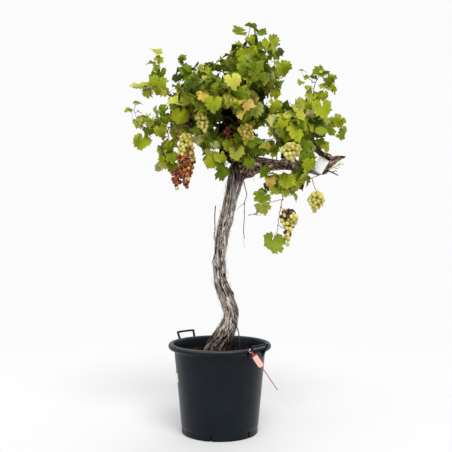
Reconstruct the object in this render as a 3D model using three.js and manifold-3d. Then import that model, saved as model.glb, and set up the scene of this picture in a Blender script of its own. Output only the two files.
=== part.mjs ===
// A grapevine in a round nursery pot, in millimetres, +Z up.
// The origin is the middle of the pot's flat underside. +X is the side of the
// thick bare arm, and -Y is the side that the pot's tag hangs on.
import * as THREE from "three";
import { mergeVertices } from "three/addons/utils/BufferGeometryUtils.js";
import Module from "manifold-3d";

const wasm = await Module();
wasm.setup();

// ---------------------------------------------------------------- sizes
const GAP = 0.3; // clearance between two pieces that touch
const LATHE_SIDES = 28;
const RIPPLE = 0.06; // how far a foliage mass's surface swells and sinks
const DEPTH = 1.2; // a foliage mass's size along Y against its size along X

const POT = {
  height: 431,
  baseRadius: 185,
  baseStepRadius: 187.5,
  baseStepHeight: 34,
  wall: 3,
  floor: 4,
  neckRadius: 221.5, // outside of the wall, just under the rim
  neckHeight: 396,
  rimOuterRadius: 250,
  rimInnerRadius: 226,
};
const SLOT = { count: 6, firstAngle: -102, width: 8, height: 30, depth: 11 };
const HANDLE = {
  halfAngle: 10.8,
  barRadius: 4.2,
  kneeRadius: 5.2,
  footRadius: 7.2,
  footHeight: 402,
  footAt: 251,
  cornerDrop: 7,
  cornerTurn: 1.5,
};
const HANDLES = {
  pot_handle_back: { angle: 132, barAt: 269, barHeight: 458 },
  pot_handle_front: { angle: -46, barAt: 274, barHeight: 447 },
};
const SOIL_TOP = 380;
const STICKER = { low: 248, high: 292, from: 169, to: 196, thickness: 0.4 };
const TAG = {
  loopRadius: 9,
  cordRadius: 1.4,
  tipLength: 17,
  strapWidth: 6,
  strapLength: 19,
  bodyWidth: 26,
  bodyLength: 62,
  chamfer: 6,
  tailWidth: 3.4,
  tailLength: 134,
  thickness: 1.6,
  slope: 56, // degrees below the horizontal, towards +X
};
const LABEL = { width: 48, length: 88, thickness: 0.8, middle: [487, 1293], turn: 37 };

const COLOURS = {
  pot: 0x1c2225,
  soil: 0x3b1f12,
  bark: 0x6f6259,
  cane: 0x5b3a28,
  leaves: 0x6b8a1c,
  tag: 0xf4a7a3,
  card: 0xf1f3f3,
};

// ------------------------------------------------------------- helpers
const radians = THREE.MathUtils.degToRad;

function polar(radius, degrees, z) {
  const a = radians(degrees);
  return new THREE.Vector3(radius * Math.cos(a), radius * Math.sin(a), z);
}

// A closed geometry as a solid, and a solid as a geometry.
function solidOf(geometry) {
  const bare = geometry.index ? geometry.toNonIndexed() : geometry.clone();
  const points = new THREE.BufferGeometry();
  points.setAttribute("position", bare.getAttribute("position"));
  const merged = mergeVertices(points, 1e-4);
  return new wasm.Manifold(
    new wasm.Mesh({
      numProp: 3,
      vertProperties: merged.attributes.position.array,
      triVerts: new Uint32Array(merged.index.array),
    }),
  );
}

function geometryOf(solid) {
  const mesh = solid.getMesh();
  const geometry = new THREE.BufferGeometry();
  const points = new Float32Array(mesh.numVert * 3);
  for (let i = 0; i < mesh.numVert; i++) {
    const start = i * mesh.numProp;
    points.set(mesh.vertProperties.subarray(start, start + 3), i * 3);
  }
  geometry.setAttribute("position", new THREE.BufferAttribute(points, 3));
  geometry.setIndex(new THREE.BufferAttribute(new Uint32Array(mesh.triVerts), 1));
  return geometry;
}

function biggestBody(solid) {
  const bodies = solid.decompose();
  return bodies.reduce((a, b) => (b.volume() > a.volume() ? b : a));
}

function boxesMeet(a, b) {
  const p = a.boundingBox();
  const q = b.boundingBox();
  return [0, 1, 2].every((i) => p.min[i] <= q.max[i] && q.min[i] <= p.max[i]);
}

// A profile of [radius, height] pairs, turned about the Z axis.
function turned(profile, sides = LATHE_SIDES) {
  const points = profile.map(([r, z]) => new THREE.Vector2(r, z));
  return new THREE.LatheGeometry(points, sides).rotateX(Math.PI / 2);
}

// A closed grid of rings, from a function of (ring, side), with flat ends.
function ringed(rings, sides, place) {
  const points = [];
  const faces = [];
  for (let i = 0; i < rings; i++) {
    for (let j = 0; j < sides; j++) points.push(...place(i, j).toArray());
  }
  for (let i = 0; i + 1 < rings; i++) {
    for (let j = 0; j < sides; j++) {
      const k = (j + 1) % sides;
      const [a, b] = [i * sides + j, i * sides + k];
      faces.push(a, b, b + sides, a, b + sides, a + sides);
    }
  }
  const top = (rings - 1) * sides;
  for (let j = 1; j + 1 < sides; j++) {
    faces.push(0, j + 1, j);
    faces.push(top, top + j, top + j + 1);
  }
  const geometry = new THREE.BufferGeometry();
  geometry.setAttribute("position", new THREE.Float32BufferAttribute(points, 3));
  geometry.setIndex(faces);
  return geometry;
}

// A smooth route through stations of [x, y, z, radius], and its radius at a
// share t of the stations.
function routeThrough(stations) {
  const points = stations.map(([x, y, z]) => new THREE.Vector3(x, y, z));
  return new THREE.CatmullRomCurve3(points, false, "centripetal");
}

function radiusAt(stations, t) {
  const place = t * (stations.length - 1);
  const i = Math.min(Math.floor(place), stations.length - 2);
  return THREE.MathUtils.lerp(stations[i][3], stations[i + 1][3], place - i);
}

// A limb along a smooth route, let out by grow all round.
function limb(stations, { rings, sides = 8, level = false, grow = 0 }) {
  const route = routeThrough(stations);
  const across = new THREE.Vector3(0, 1, 0);
  return ringed(rings, sides, (i, j) => {
    const t = i / (rings - 1);
    const along = route.getTangent(t);
    if (level && i === 0) along.set(0, 0, 1);
    const u = across.clone().addScaledVector(along, -across.dot(along)).normalize();
    const v = along.clone().cross(u);
    const a = (2 * Math.PI * j) / sides;
    const r = radiusAt(stations, t) + grow;
    const centre = route.getPoint(t);
    if (i === 0) centre.addScaledVector(along, -grow);
    if (i === rings - 1) centre.addScaledVector(along, grow);
    return centre.addScaledVector(u, r * Math.cos(a)).addScaledVector(v, r * Math.sin(a));
  });
}

// A mass of foliage: the hull that its round lobes fill as seen from the first
// one's centre, with a ripple over it. Each lobe is [x, y, z, radius], and
// depth stretches the hull along Y.
function foliage(lobes, { depth = DEPTH, detail = 2 }, grow = 0) {
  const balls = lobes.map(([x, y, z, r]) => [new THREE.Vector3(x, y, z), r]);
  const heart = balls[0][0];
  const sphere = new THREE.IcosahedronGeometry(1, detail);
  const position = sphere.getAttribute("position");
  const ray = new THREE.Vector3();
  for (let i = 0; i < position.count; i++) {
    ray.fromBufferAttribute(position, i).normalize();
    let reach = 0;
    for (const [centre, radius] of balls) {
      const offset = centre.clone().sub(heart);
      const along = offset.dot(ray);
      const under = radius * radius - offset.lengthSq() + along * along;
      if (under > 0) reach = Math.max(reach, along + Math.sqrt(under));
    }
    const wave = Math.sin(5 * ray.x + heart.x) * Math.sin(6 * ray.y - heart.z) * Math.cos(7 * ray.z);
    reach = reach * (1 + RIPPLE * wave) + grow;
    ray.multiplyScalar(reach);
    ray.y *= depth;
    position.setXYZ(i, ...ray.add(heart).toArray());
  }
  return sphere;
}

// -------------------------------------------------------- the assembly
const part = new THREE.Group();
const grown = []; // each placed solid, let out by the gap, for the next to be cut by

function place(name, solid, colour, roughness, cutter = null) {
  const material = new THREE.MeshStandardMaterial({ color: colour, roughness, metalness: 0 });
  const mesh = new THREE.Mesh(geometryOf(solid), material);
  mesh.name = name;
  part.add(mesh);
  if (cutter) grown.push(cutter);
  return solid;
}

// Cuts a solid back from everything that was placed before it.
function cutBack(solid) {
  const near = grown.filter((other) => boxesMeet(solid, other));
  return biggestBody(near.reduce((left, other) => left.subtract(other), solid));
}

// ------------------------------------------------------------- the pot
function wallRadius(z) {
  const share = (z - POT.baseStepHeight) / (POT.neckHeight - POT.baseStepHeight);
  return THREE.MathUtils.lerp(POT.baseStepRadius, POT.neckRadius, share);
}

function potShell() {
  const { height, baseRadius, baseStepHeight, wall, floor, rimOuterRadius: out, rimInnerRadius: inn } = POT;
  const profile = [
    [0, 0],
    [baseRadius - 3, 0],
    [baseRadius, 4],
    [baseRadius, baseStepHeight - 3],
    [POT.baseStepRadius, baseStepHeight],
    [POT.neckRadius, POT.neckHeight],
    [POT.neckRadius + 4, POT.neckHeight + 8],
    [out - 9, height - 27],
    [out - 1, height - 22],
    [out, height - 12],
    [out - 5, height - 2],
    [out - 12, height],
    [inn + 4, height - 1],
    [inn, height - 6],
    [POT.neckRadius - wall, POT.neckHeight],
    [baseRadius - wall, floor],
    [0, floor],
  ];
  let shell = solidOf(turned(profile));
  for (let k = 0; k < SLOT.count; k++) {
    const angle = SLOT.firstAngle + (360 / SLOT.count) * k;
    const slot = new THREE.BoxGeometry(SLOT.depth * 2, SLOT.width, SLOT.height * 2);
    slot.translate(baseRadius, 0, 0).rotateZ(radians(angle));
    shell = shell.subtract(solidOf(slot));
  }
  return shell;
}

function soilFill() {
  const inside = (z) => {
    const share = (z - POT.floor) / (POT.neckHeight - POT.floor);
    return THREE.MathUtils.lerp(POT.baseRadius, POT.neckRadius, share) - POT.wall - 2 * GAP;
  };
  const low = POT.floor + GAP;
  return solidOf(turned([[0, low], [inside(low), low], [inside(SOIL_TOP), SOIL_TOP], [0, SOIL_TOP]]));
}

// The stations of one leg of a handle, from its foot up to the bar's end.
function legStations({ angle, barAt, barHeight }, side) {
  const { halfAngle, footAt, footHeight, cornerDrop, cornerTurn } = HANDLE;
  const legAngle = angle + side * halfAngle;
  const stations = [
    [polar(footAt, legAngle, footHeight), HANDLE.footRadius],
    [polar((footAt + barAt) / 2, legAngle, (footHeight + barHeight) / 2), HANDLE.kneeRadius],
    [polar(barAt - 1, legAngle, barHeight - cornerDrop), HANDLE.barRadius],
    [polar(barAt, legAngle - side * cornerTurn, barHeight), HANDLE.barRadius],
  ];
  return stations.map(([p, radius]) => [p.x, p.y, p.z, radius]);
}

// A bail that stands on the outside of the rim: up one leg, along the bar and
// down. It turns through a half circle, so its rings are carried along it.
function handle(spec, grow = 0) {
  const stations = [...legStations(spec, -1), ...legStations(spec, 1).reverse()];
  const route = routeThrough(stations);
  const steps = 14;
  const sides = 6;
  const frames = route.computeFrenetFrames(steps, false);
  return ringed(steps + 1, sides, (i, j) => {
    const r = radiusAt(stations, i / steps) + grow;
    const a = (2 * Math.PI * j) / sides;
    return route
      .getPointAt(i / steps)
      .addScaledVector(frames.normals[i], r * Math.cos(a))
      .addScaledVector(frames.binormals[i], r * Math.sin(a));
  });
}

// What the rim takes out of a handle's legs, so that they stand against it.
function rimHull() {
  const [radius, top] = [POT.rimOuterRadius + GAP, POT.height + GAP];
  return solidOf(turned([[0, SOIL_TOP], [radius, SOIL_TOP], [radius, top], [0, top]]));
}

function sticker() {
  const { low, high, from, to, thickness } = STICKER;
  const face = (z, off) => [wallRadius(z) + off, z];
  const off = GAP + thickness;
  const band = turned([face(low, GAP), face(low, off), face(high, off), face(high, GAP), face(low, GAP)]);
  const wedge = new THREE.Shape();
  wedge.moveTo(0, 0);
  for (const degrees of [from, to]) {
    const corner = polar(2 * POT.rimOuterRadius, degrees, 0);
    wedge.lineTo(corner.x, corner.y);
  }
  const sector = new THREE.ExtrudeGeometry(wedge, { depth: POT.height, bevelEnabled: false });
  return solidOf(band).intersect(solidOf(sector));
}

// The tie-on tag: a ring round the front handle's leg, and a plate that has a
// tip above the ring, and a strap, a body and a tail below it.
function potTag() {
  const legAngle = HANDLES.pot_handle_front.angle - HANDLE.halfAngle;
  const stations = legStations(HANDLES.pot_handle_front, -1);
  const [foot, knee] = stations.map(([x, y, z]) => new THREE.Vector3(x, y, z));
  const leg = knee.clone().sub(foot).normalize();
  const slack = TAG.loopRadius - TAG.cordRadius - HANDLE.kneeRadius - GAP;
  const centre = knee.clone().sub(polar(slack, legAngle, 0));
  const ring = new THREE.TorusGeometry(TAG.loopRadius, TAG.cordRadius, 4, 12);
  ring.applyQuaternion(new THREE.Quaternion().setFromUnitVectors(new THREE.Vector3(0, 0, 1), leg));
  ring.translate(...centre.toArray());

  const { tipLength, strapLength, bodyLength, tailLength, chamfer } = TAG;
  const [strap, body, tail] = [TAG.strapWidth / 2, TAG.bodyWidth / 2, TAG.tailWidth / 2];
  const bodyEnd = strapLength + bodyLength;
  const outline = [
    [-tipLength, -strap],
    [strapLength, -strap],
    [strapLength, -body],
    [bodyEnd - chamfer, -body],
    [bodyEnd, -body + chamfer],
    [bodyEnd, -tail],
    [bodyEnd + tailLength, -tail],
  ];
  const mirrored = outline.map(([x, y]) => [x, -y]).reverse();
  const shape = new THREE.Shape([...outline, ...mirrored].map(([x, y]) => new THREE.Vector2(x, y)));
  const plate = new THREE.ExtrudeGeometry(shape, { depth: TAG.thickness, bevelEnabled: false });
  plate.rotateX(Math.PI / 2).rotateY(radians(TAG.slope));
  plate.translate(...centre.clone().add(polar(TAG.loopRadius, legAngle, 0)).toArray());
  return solidOf(ring).add(solidOf(plate));
}

const shell = potShell();
place("pot_shell", shell, COLOURS.pot, 0.55, shell);
place("soil_fill", soilFill(), COLOURS.soil, 0.95);
for (const [name, spec] of Object.entries(HANDLES)) {
  const bail = biggestBody(solidOf(handle(spec)).subtract(rimHull()));
  place(name, bail, COLOURS.pot, 0.55, solidOf(handle(spec, GAP)));
}
place("pot_sticker", sticker(), COLOURS.card, 0.4);
place("pot_tag", cutBack(potTag()), COLOURS.tag, 0.4);

// ------------------------------------------------------------ the wood
// Stations run from the foot or the parent limb outwards: [x, y, z, radius].
const WOOD = {
  trunk: {
    colour: COLOURS.bark,
    rings: 20,
    sides: 10,
    level: true,
    stations: [
      [-26, 0, SOIL_TOP + GAP, 60],
      [-8, 0, 414, 52],
      [22, -4, 468, 47],
      [45, -6, 508, 41],
      [55, -8, 550, 36],
      [52, -8, 594, 33],
      [33, -4, 648, 35],
      [9, 2, 707, 32],
      [-4, 6, 795, 30],
      [-1, 6, 854, 28],
      [4, 4, 912, 31],
      [21, 0, 1000, 30],
      [40, -4, 1068, 33],
      [55, -4, 1137, 31],
      [69, -2, 1205, 36],
      [86, 0, 1262, 44],
      [96, 0, 1300, 40],
      [100, 0, 1318, 26],
    ],
  },
  arm_right: {
    colour: COLOURS.bark,
    rings: 13,
    stations: [
      [112, 0, 1284, 34],
      [160, -3, 1296, 27],
      [235, -8, 1301, 22],
      [294, -10, 1295, 18],
      [343, -8, 1303, 20],
      [397, 0, 1288, 15],
      [450, 8, 1273, 13],
      [500, 10, 1268, 12],
    ],
  },
  arm_right_end: {
    colour: COLOURS.bark,
    rings: 10,
    sides: 8,
    stations: [
      [490, 10, 1268, 12],
      [522, 8, 1283, 13],
      [548, 4, 1312, 14],
      [574, 0, 1331, 11],
      [612, -4, 1337, 3],
    ],
  },
  spur_right: {
    colour: COLOURS.bark,
    rings: 9,
    sides: 8,
    stations: [
      [552, 4, 1322, 9],
      [524, 8, 1336, 10],
      [495, 14, 1356, 10],
      [466, 18, 1382, 9],
    ],
  },
  arm_left: {
    colour: COLOURS.bark,
    rings: 12,
    stations: [
      [88, 0, 1296, 28],
      [56, 6, 1322, 25],
      [35, 10, 1361, 22],
      [8, 12, 1405, 20],
      [-42, 6, 1440, 17],
      [-98, 0, 1474, 14],
      [-156, -6, 1503, 11],
      [-200, -8, 1520, 9],
    ],
  },
  limb_middle: {
    colour: COLOURS.bark,
    rings: 10,
    stations: [
      [98, 4, 1296, 26],
      [98, 14, 1350, 21],
      [106, 20, 1420, 17],
      [118, 22, 1490, 13],
      [130, 20, 1540, 10],
    ],
  },
  limb_back: {
    colour: COLOURS.bark,
    rings: 9,
    sides: 8,
    stations: [
      [96, 12, 1318, 18],
      [82, 60, 1370, 15],
      [76, 120, 1440, 12],
      [82, 195, 1545, 8],
    ],
  },
  cane_left: {
    colour: COLOURS.cane,
    rings: 8,
    sides: 7,
    stations: [
      [-176, -8, 1532, 6],
      [-206, -14, 1592, 5.5],
      [-246, -16, 1640, 5],
      [-286, -12, 1676, 4],
    ],
  },
  cane_hanging: {
    colour: COLOURS.cane,
    rings: 9,
    sides: 7,
    stations: [
      [296, -20, 1190, 4],
      [306, -26, 1144, 4],
      [297, -30, 1100, 3.5],
      [286, -34, 1040, 3],
      [276, -36, 960, 2.5],
    ],
  },
  cane_hanging_side: {
    colour: COLOURS.cane,
    rings: 5,
    sides: 6,
    stations: [
      [303, -28, 1128, 2.5],
      [270, -30, 1121, 2.5],
      [236, -30, 1112, 2.5],
    ],
  },
};

const solids = {};
for (const [name, spec] of Object.entries(WOOD)) {
  const own = solidOf(limb(spec.stations, spec));
  const cutter = solidOf(limb(spec.stations, { ...spec, grow: GAP, level: false }));
  solids[name] = place(name, cutBack(own), spec.colour, 0.9, cutter);
}

// The card hangs flat against the front of the arm's end.
function armLabel() {
  const { width, length, thickness, middle, turn } = LABEL;
  const card = new THREE.BoxGeometry(width, thickness, length).rotateY(radians(turn));
  card.translate(middle[0], 0, middle[1]);
  const carriers = ["arm_right", "arm_right_end"].map((name) => solids[name]);
  const deep = new THREE.BoxGeometry(width, 400, length).rotateY(radians(turn));
  const behind = solidOf(deep.translate(middle[0], 0, middle[1]));
  const front = Math.min(...carriers.map((wood) => wood.intersect(behind).boundingBox().min[1]));
  return solidOf(card.translate(0, front - GAP - thickness / 2, 0));
}
const label = armLabel();
place("arm_label", label, COLOURS.card, 0.35, label);

// --------------------------------------------------------- the foliage
// Each lobe is [x, y, z, radius], and a mass's first lobe is its heart.
const MASSES = {
  leaves_plume: [
    [150, 0, 1915, 52],
    [160, 0, 1970, 36],
    [98, 8, 1950, 34],
    [200, -10, 1952, 32],
    [252, -15, 1890, 45],
  ],
  leaves_upper: [
    [155, 0, 1790, 96],
    [85, 15, 1835, 60],
    [62, 15, 1878, 34],
    [245, -10, 1825, 56],
    [292, -10, 1768, 44],
    [215, 0, 1720, 80],
  ],
  leaves_crest_left: [
    [-85, 0, 1715, 68],
    [-190, -5, 1742, 46],
    [-135, 0, 1742, 46],
    [-45, 10, 1758, 44],
    [8, 15, 1785, 42],
    [-165, -10, 1675, 56],
  ],
  leaves_middle: [
    [110, 0, 1600, 92],
    [170, 10, 1570, 80],
    [45, -20, 1545, 68],
    [140, 0, 1500, 66],
    [205, 20, 1650, 66],
  ],
  leaves_left: [
    [-100, 0, 1600, 90],
    [-170, 0, 1590, 62],
    [-35, -30, 1560, 70],
    [-205, 0, 1535, 48],
    [-10, -10, 1655, 56],
  ],
  leaves_left_front: [
    [-90, -140, 1632, 56],
    [-38, -165, 1640, 50],
    [-160, -110, 1608, 42],
  ],
  leaves_middle_front: [
    [78, -175, 1595, 60],
    [15, -160, 1618, 50],
    [140, -165, 1565, 52],
    [85, -225, 1580, 48],
  ],
  leaves_upper_front: [
    [145, -135, 1720, 66],
    [90, -130, 1712, 50],
    [212, -110, 1712, 46],
  ],
  leaves_left_back: [
    [-120, 165, 1630, 80],
    [-200, 150, 1615, 52],
    [-70, 200, 1575, 60],
    [-75, 175, 1700, 50],
  ],
  leaves_middle_back: [
    [90, 240, 1605, 88],
    [15, 215, 1670, 58],
    [150, 225, 1530, 58],
    [60, 310, 1610, 52],
  ],
  leaves_upper_back: [
    [145, 165, 1765, 80],
    [95, 140, 1815, 54],
    [220, 150, 1735, 58],
  ],
  leaves_right_back: [
    [345, 155, 1530, 78],
    [422, 130, 1545, 58],
    [280, 165, 1500, 52],
  ],
  leaves_left_outer: [
    [-290, -10, 1500, 52],
    [-355, -10, 1505, 45],
    [-402, -10, 1516, 24],
    [-235, -10, 1490, 46],
    [-252, -15, 1455, 36],
  ],
  leaves_left_bud: [
    [-400, -5, 1572, 24],
    [-445, -5, 1570, 14],
    [-376, -5, 1545, 24],
  ],
  leaves_left_drop: [
    [-384, -20, 1418, 42],
    [-380, -15, 1460, 22],
  ],
  leaves_left_shoot: [
    [-308, -10, 1822, 34],
    [-310, -10, 1862, 32],
    [-305, -8, 1780, 28],
    [-305, -8, 1745, 22],
  ],
  leaves_left_spray: [
    [-305, -12, 1692, 46],
    [-350, -15, 1672, 36],
    [-395, -18, 1656, 28],
    [-430, -18, 1652, 14],
    [-262, -10, 1672, 46],
    [-306, -10, 1732, 28],
  ],
  leaves_left_low: [
    [-255, -40, 1350, 46],
    [-250, -34, 1402, 40],
    [-276, -40, 1302, 40],
    [-236, -40, 1286, 36],
    [-252, -28, 1430, 24],
  ],
  leaves_left_under: [
    [-150, -45, 1472, 44],
    [-100, -40, 1480, 40],
    [-195, -45, 1478, 32],
  ],
  leaves_fork_left: [
    [-25, -40, 1370, 54],
    [-62, -38, 1422, 42],
    [-40, -46, 1318, 38],
    [12, -52, 1298, 42],
    [8, -25, 1408, 44],
  ],
  leaves_fork: [
    [115, -60, 1385, 56],
    [172, -55, 1378, 54],
    [88, -72, 1362, 48],
    [135, -80, 1325, 34],
    [215, -25, 1415, 40],
  ],
  leaves_right: [
    [360, 0, 1500, 88],
    [430, 0, 1518, 80],
    [285, -5, 1540, 58],
    [500, 0, 1475, 56],
    [405, -5, 1432, 60],
    [300, -10, 1432, 50],
  ],
  leaves_right_front: [
    [330, -125, 1488, 56],
    [390, -115, 1480, 48],
    [272, -120, 1470, 44],
  ],
  leaves_right_low: [
    [490, -10, 1415, 42],
    [522, -10, 1390, 34],
    [452, -10, 1400, 34],
  ],
  leaves_right_shoot: [
    [485, 0, 1660, 56],
    [500, 0, 1720, 44],
    [508, 0, 1762, 30],
    [552, 0, 1728, 26],
    [420, 0, 1735, 26],
    [535, 0, 1655, 42],
    [480, 0, 1610, 46],
  ],
  leaves_right_outer: [
    [575, -5, 1505, 40],
    [600, -5, 1482, 34],
    [576, -5, 1540, 30],
    [550, 0, 1480, 30],
  ],
  leaves_arm_front: [
    [424, -58, 1325, 46],
    [436, -48, 1362, 34],
    [416, -62, 1288, 36],
  ],
  leaves_under_arm: [
    [320, -20, 1225, 48],
    [250, -20, 1228, 46],
    [395, -20, 1230, 50],
    [218, -16, 1262, 26],
    [376, -20, 1182, 26],
  ],
  leaves_hanging_pair: [
    [200, -30, 1122, 50],
    [226, -30, 1082, 26],
    [164, -32, 1058, 16],
  ],
  leaves_hanging_leaf: [
    [262, -40, 918, 50],
    [276, -40, 885, 42],
    [232, -42, 942, 30],
    [272, -36, 955, 22],
  ],
};

// Masses that are one or two leaves deep, and are rougher for it.
const THIN = { depth: 0.7, detail: 1 };
const FORMS = {
  leaves_plume: { depth: 1 },
  leaves_left_bud: THIN,
  leaves_left_drop: THIN,
  leaves_left_shoot: THIN,
  leaves_left_under: THIN,
  leaves_right_low: THIN,
  leaves_right_outer: THIN,
  leaves_arm_front: THIN,
  leaves_hanging_pair: THIN,
  leaves_hanging_leaf: THIN,
};

for (const [name, lobes] of Object.entries(MASSES)) {
  const form = FORMS[name] ?? {};
  const cutter = solidOf(foliage(lobes, form, GAP));
  place(name, cutBack(solidOf(foliage(lobes, form))), COLOURS.leaves, 0.7, cutter);
}

export default part;
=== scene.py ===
"""The looks of a potted grapevine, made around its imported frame.

All sizes are in metres, in the frame's own axes: +Z is up, the pot stands on z = 0,
+X is the side of the bare arm and -Y the side that the pot's tag hangs on.
"""

import logging
import math
from dataclasses import dataclass, field
from enum import Enum
from itertools import product
from typing import Callable, Sequence

import bpy
import numpy as np
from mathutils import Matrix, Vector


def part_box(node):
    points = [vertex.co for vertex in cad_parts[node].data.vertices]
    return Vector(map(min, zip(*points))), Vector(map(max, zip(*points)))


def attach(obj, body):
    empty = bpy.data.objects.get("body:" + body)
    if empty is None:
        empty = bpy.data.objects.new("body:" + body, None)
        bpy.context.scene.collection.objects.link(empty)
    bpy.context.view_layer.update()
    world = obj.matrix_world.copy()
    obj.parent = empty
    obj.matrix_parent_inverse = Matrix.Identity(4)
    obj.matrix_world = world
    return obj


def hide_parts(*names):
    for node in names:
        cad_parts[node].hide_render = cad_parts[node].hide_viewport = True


Array = np.ndarray
Colour = tuple[float, float, float]
Point = tuple[float, float, float]

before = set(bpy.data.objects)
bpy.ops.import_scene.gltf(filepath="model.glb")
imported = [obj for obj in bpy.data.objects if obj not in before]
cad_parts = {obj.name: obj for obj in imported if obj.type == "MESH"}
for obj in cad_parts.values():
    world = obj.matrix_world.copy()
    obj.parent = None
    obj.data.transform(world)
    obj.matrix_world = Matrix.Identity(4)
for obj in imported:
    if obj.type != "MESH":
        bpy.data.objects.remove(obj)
BODY = "root"
log = logging.getLogger("grapevine")


# ------------------------------------------------------------------ numbers and curves
def paint(red: float, green: float, blue: float) -> Colour:
    """Turn a colour named in screen steps of 0 to 255 into linear light.

    Args:
        red, green, blue: The screen steps.

    Returns:
        The linear colour that shaders take.
    """
    steps = (red / 255, green / 255, blue / 255)
    return tuple(s / 12.92 if s <= 0.04045 else ((s + 0.055) / 1.055) ** 2.4 for s in steps)


def unit(vectors: Array) -> Array:
    """Scale vectors to length one."""
    return vectors / np.maximum(np.linalg.norm(vectors, axis=-1, keepdims=True), 1e-9)


def square_to(vectors: Array, axes: Array) -> Array:
    """Lean vectors until they are square to unit axes, and scale them to length one."""
    return unit(vectors - axes * np.sum(vectors * axes, -1, keepdims=True))


def bearings_round(count: int) -> Array:
    """Space bearings evenly round a full turn, in radians."""
    return np.linspace(0, 2 * np.pi, count, endpoint=False)


def ease(values: Array, low: float, high: float) -> Array:
    """Rise from 0 at low to 1 at high along 3t^2 - 2t^3."""
    t = np.clip((values - low) / (high - low), 0, 1)
    return t * t * (3 - 2 * t)


def polar(radius: float, degrees: float, height: float) -> Array:
    """Place a point by its distance from the Z axis, its bearing and its height."""
    turn = math.radians(degrees)
    return np.array([radius * math.cos(turn), radius * math.sin(turn), height])


def lathed(reach: Array, bearing: Array, height: Array | float) -> Array:
    """Turn a section about the Z axis.

    Args:
        reach: The distance from the axis, as (rows, 1) or (rows, bearings).
        bearing: The bearings, in radians.
        height: One height, or one for each row as (rows, 1).

    Returns:
        The points, as (rows, bearings, 3).
    """
    x, y = reach * np.cos(bearing), reach * np.sin(bearing)
    return np.stack([x, y, np.broadcast_to(height, x.shape)], -1)


def flowing(points: Array, count: int) -> Array:
    """Draw a smooth curve through points.

    Between two points the curve is the Catmull-Rom cubic of those two and of one
    more on each side, with the end points doubled.

    Args:
        points: The points, one row each.
        count: How many rows the curve gets.

    Returns:
        The curve's rows, evenly spaced in the points' own numbering.
    """
    rows = np.asarray(points, float)
    padded = np.concatenate([2 * rows[:1] - rows[1:2], rows, 2 * rows[-1:] - rows[-2:-1]])
    place = np.linspace(0, len(rows) - 1, count)
    start = np.minimum(place.astype(int), len(rows) - 2)
    t = (place - start)[:, None]
    a, b, c, d = (padded[start + step] for step in range(4))
    return 0.5 * (2 * b + (c - a) * t + (2 * a - 5 * b + 4 * c - d) * t**2 + (3 * (b - c) + d - a) * t**3)


class Noise:
    """Gradient noise in three dimensions, with hills about one unit apart."""

    def __init__(self, seed: int) -> None:
        """Shuffle the lattice and give each knot a slope."""
        rng = np.random.default_rng(seed)
        self._order = rng.permutation(256)
        self._slopes = unit(rng.normal(size=(256, 3)))

    def at(self, points: Array) -> Array:
        """Sample the noise at many points.

        A value blends the slopes at the eight corners of the point's cell, weighted
        by the ease 6t^5 - 15t^4 + 10t^3 along each axis.

        Args:
            points: Any array whose last axis is x, y, z.

        Returns:
            Values between about -1 and 1, one for each point.
        """
        cell = np.floor(points).astype(int)
        local = points - cell
        blend = local**3 * (local * (local * 6 - 15) + 10)
        total = np.zeros(points.shape[:-1])
        for corner in product((0, 1), repeat=3):
            knot = (cell + corner) & 255
            line = self._order[knot[..., 0]] + knot[..., 1]
            mixed = self._order[(self._order[line & 255] + knot[..., 2]) & 255]
            weight = np.prod(np.where(np.array(corner, bool), blend, 1 - blend), axis=-1)
            total += weight * np.sum(self._slopes[mixed] * (local - corner), axis=-1)
        return total * 1.5


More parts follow.
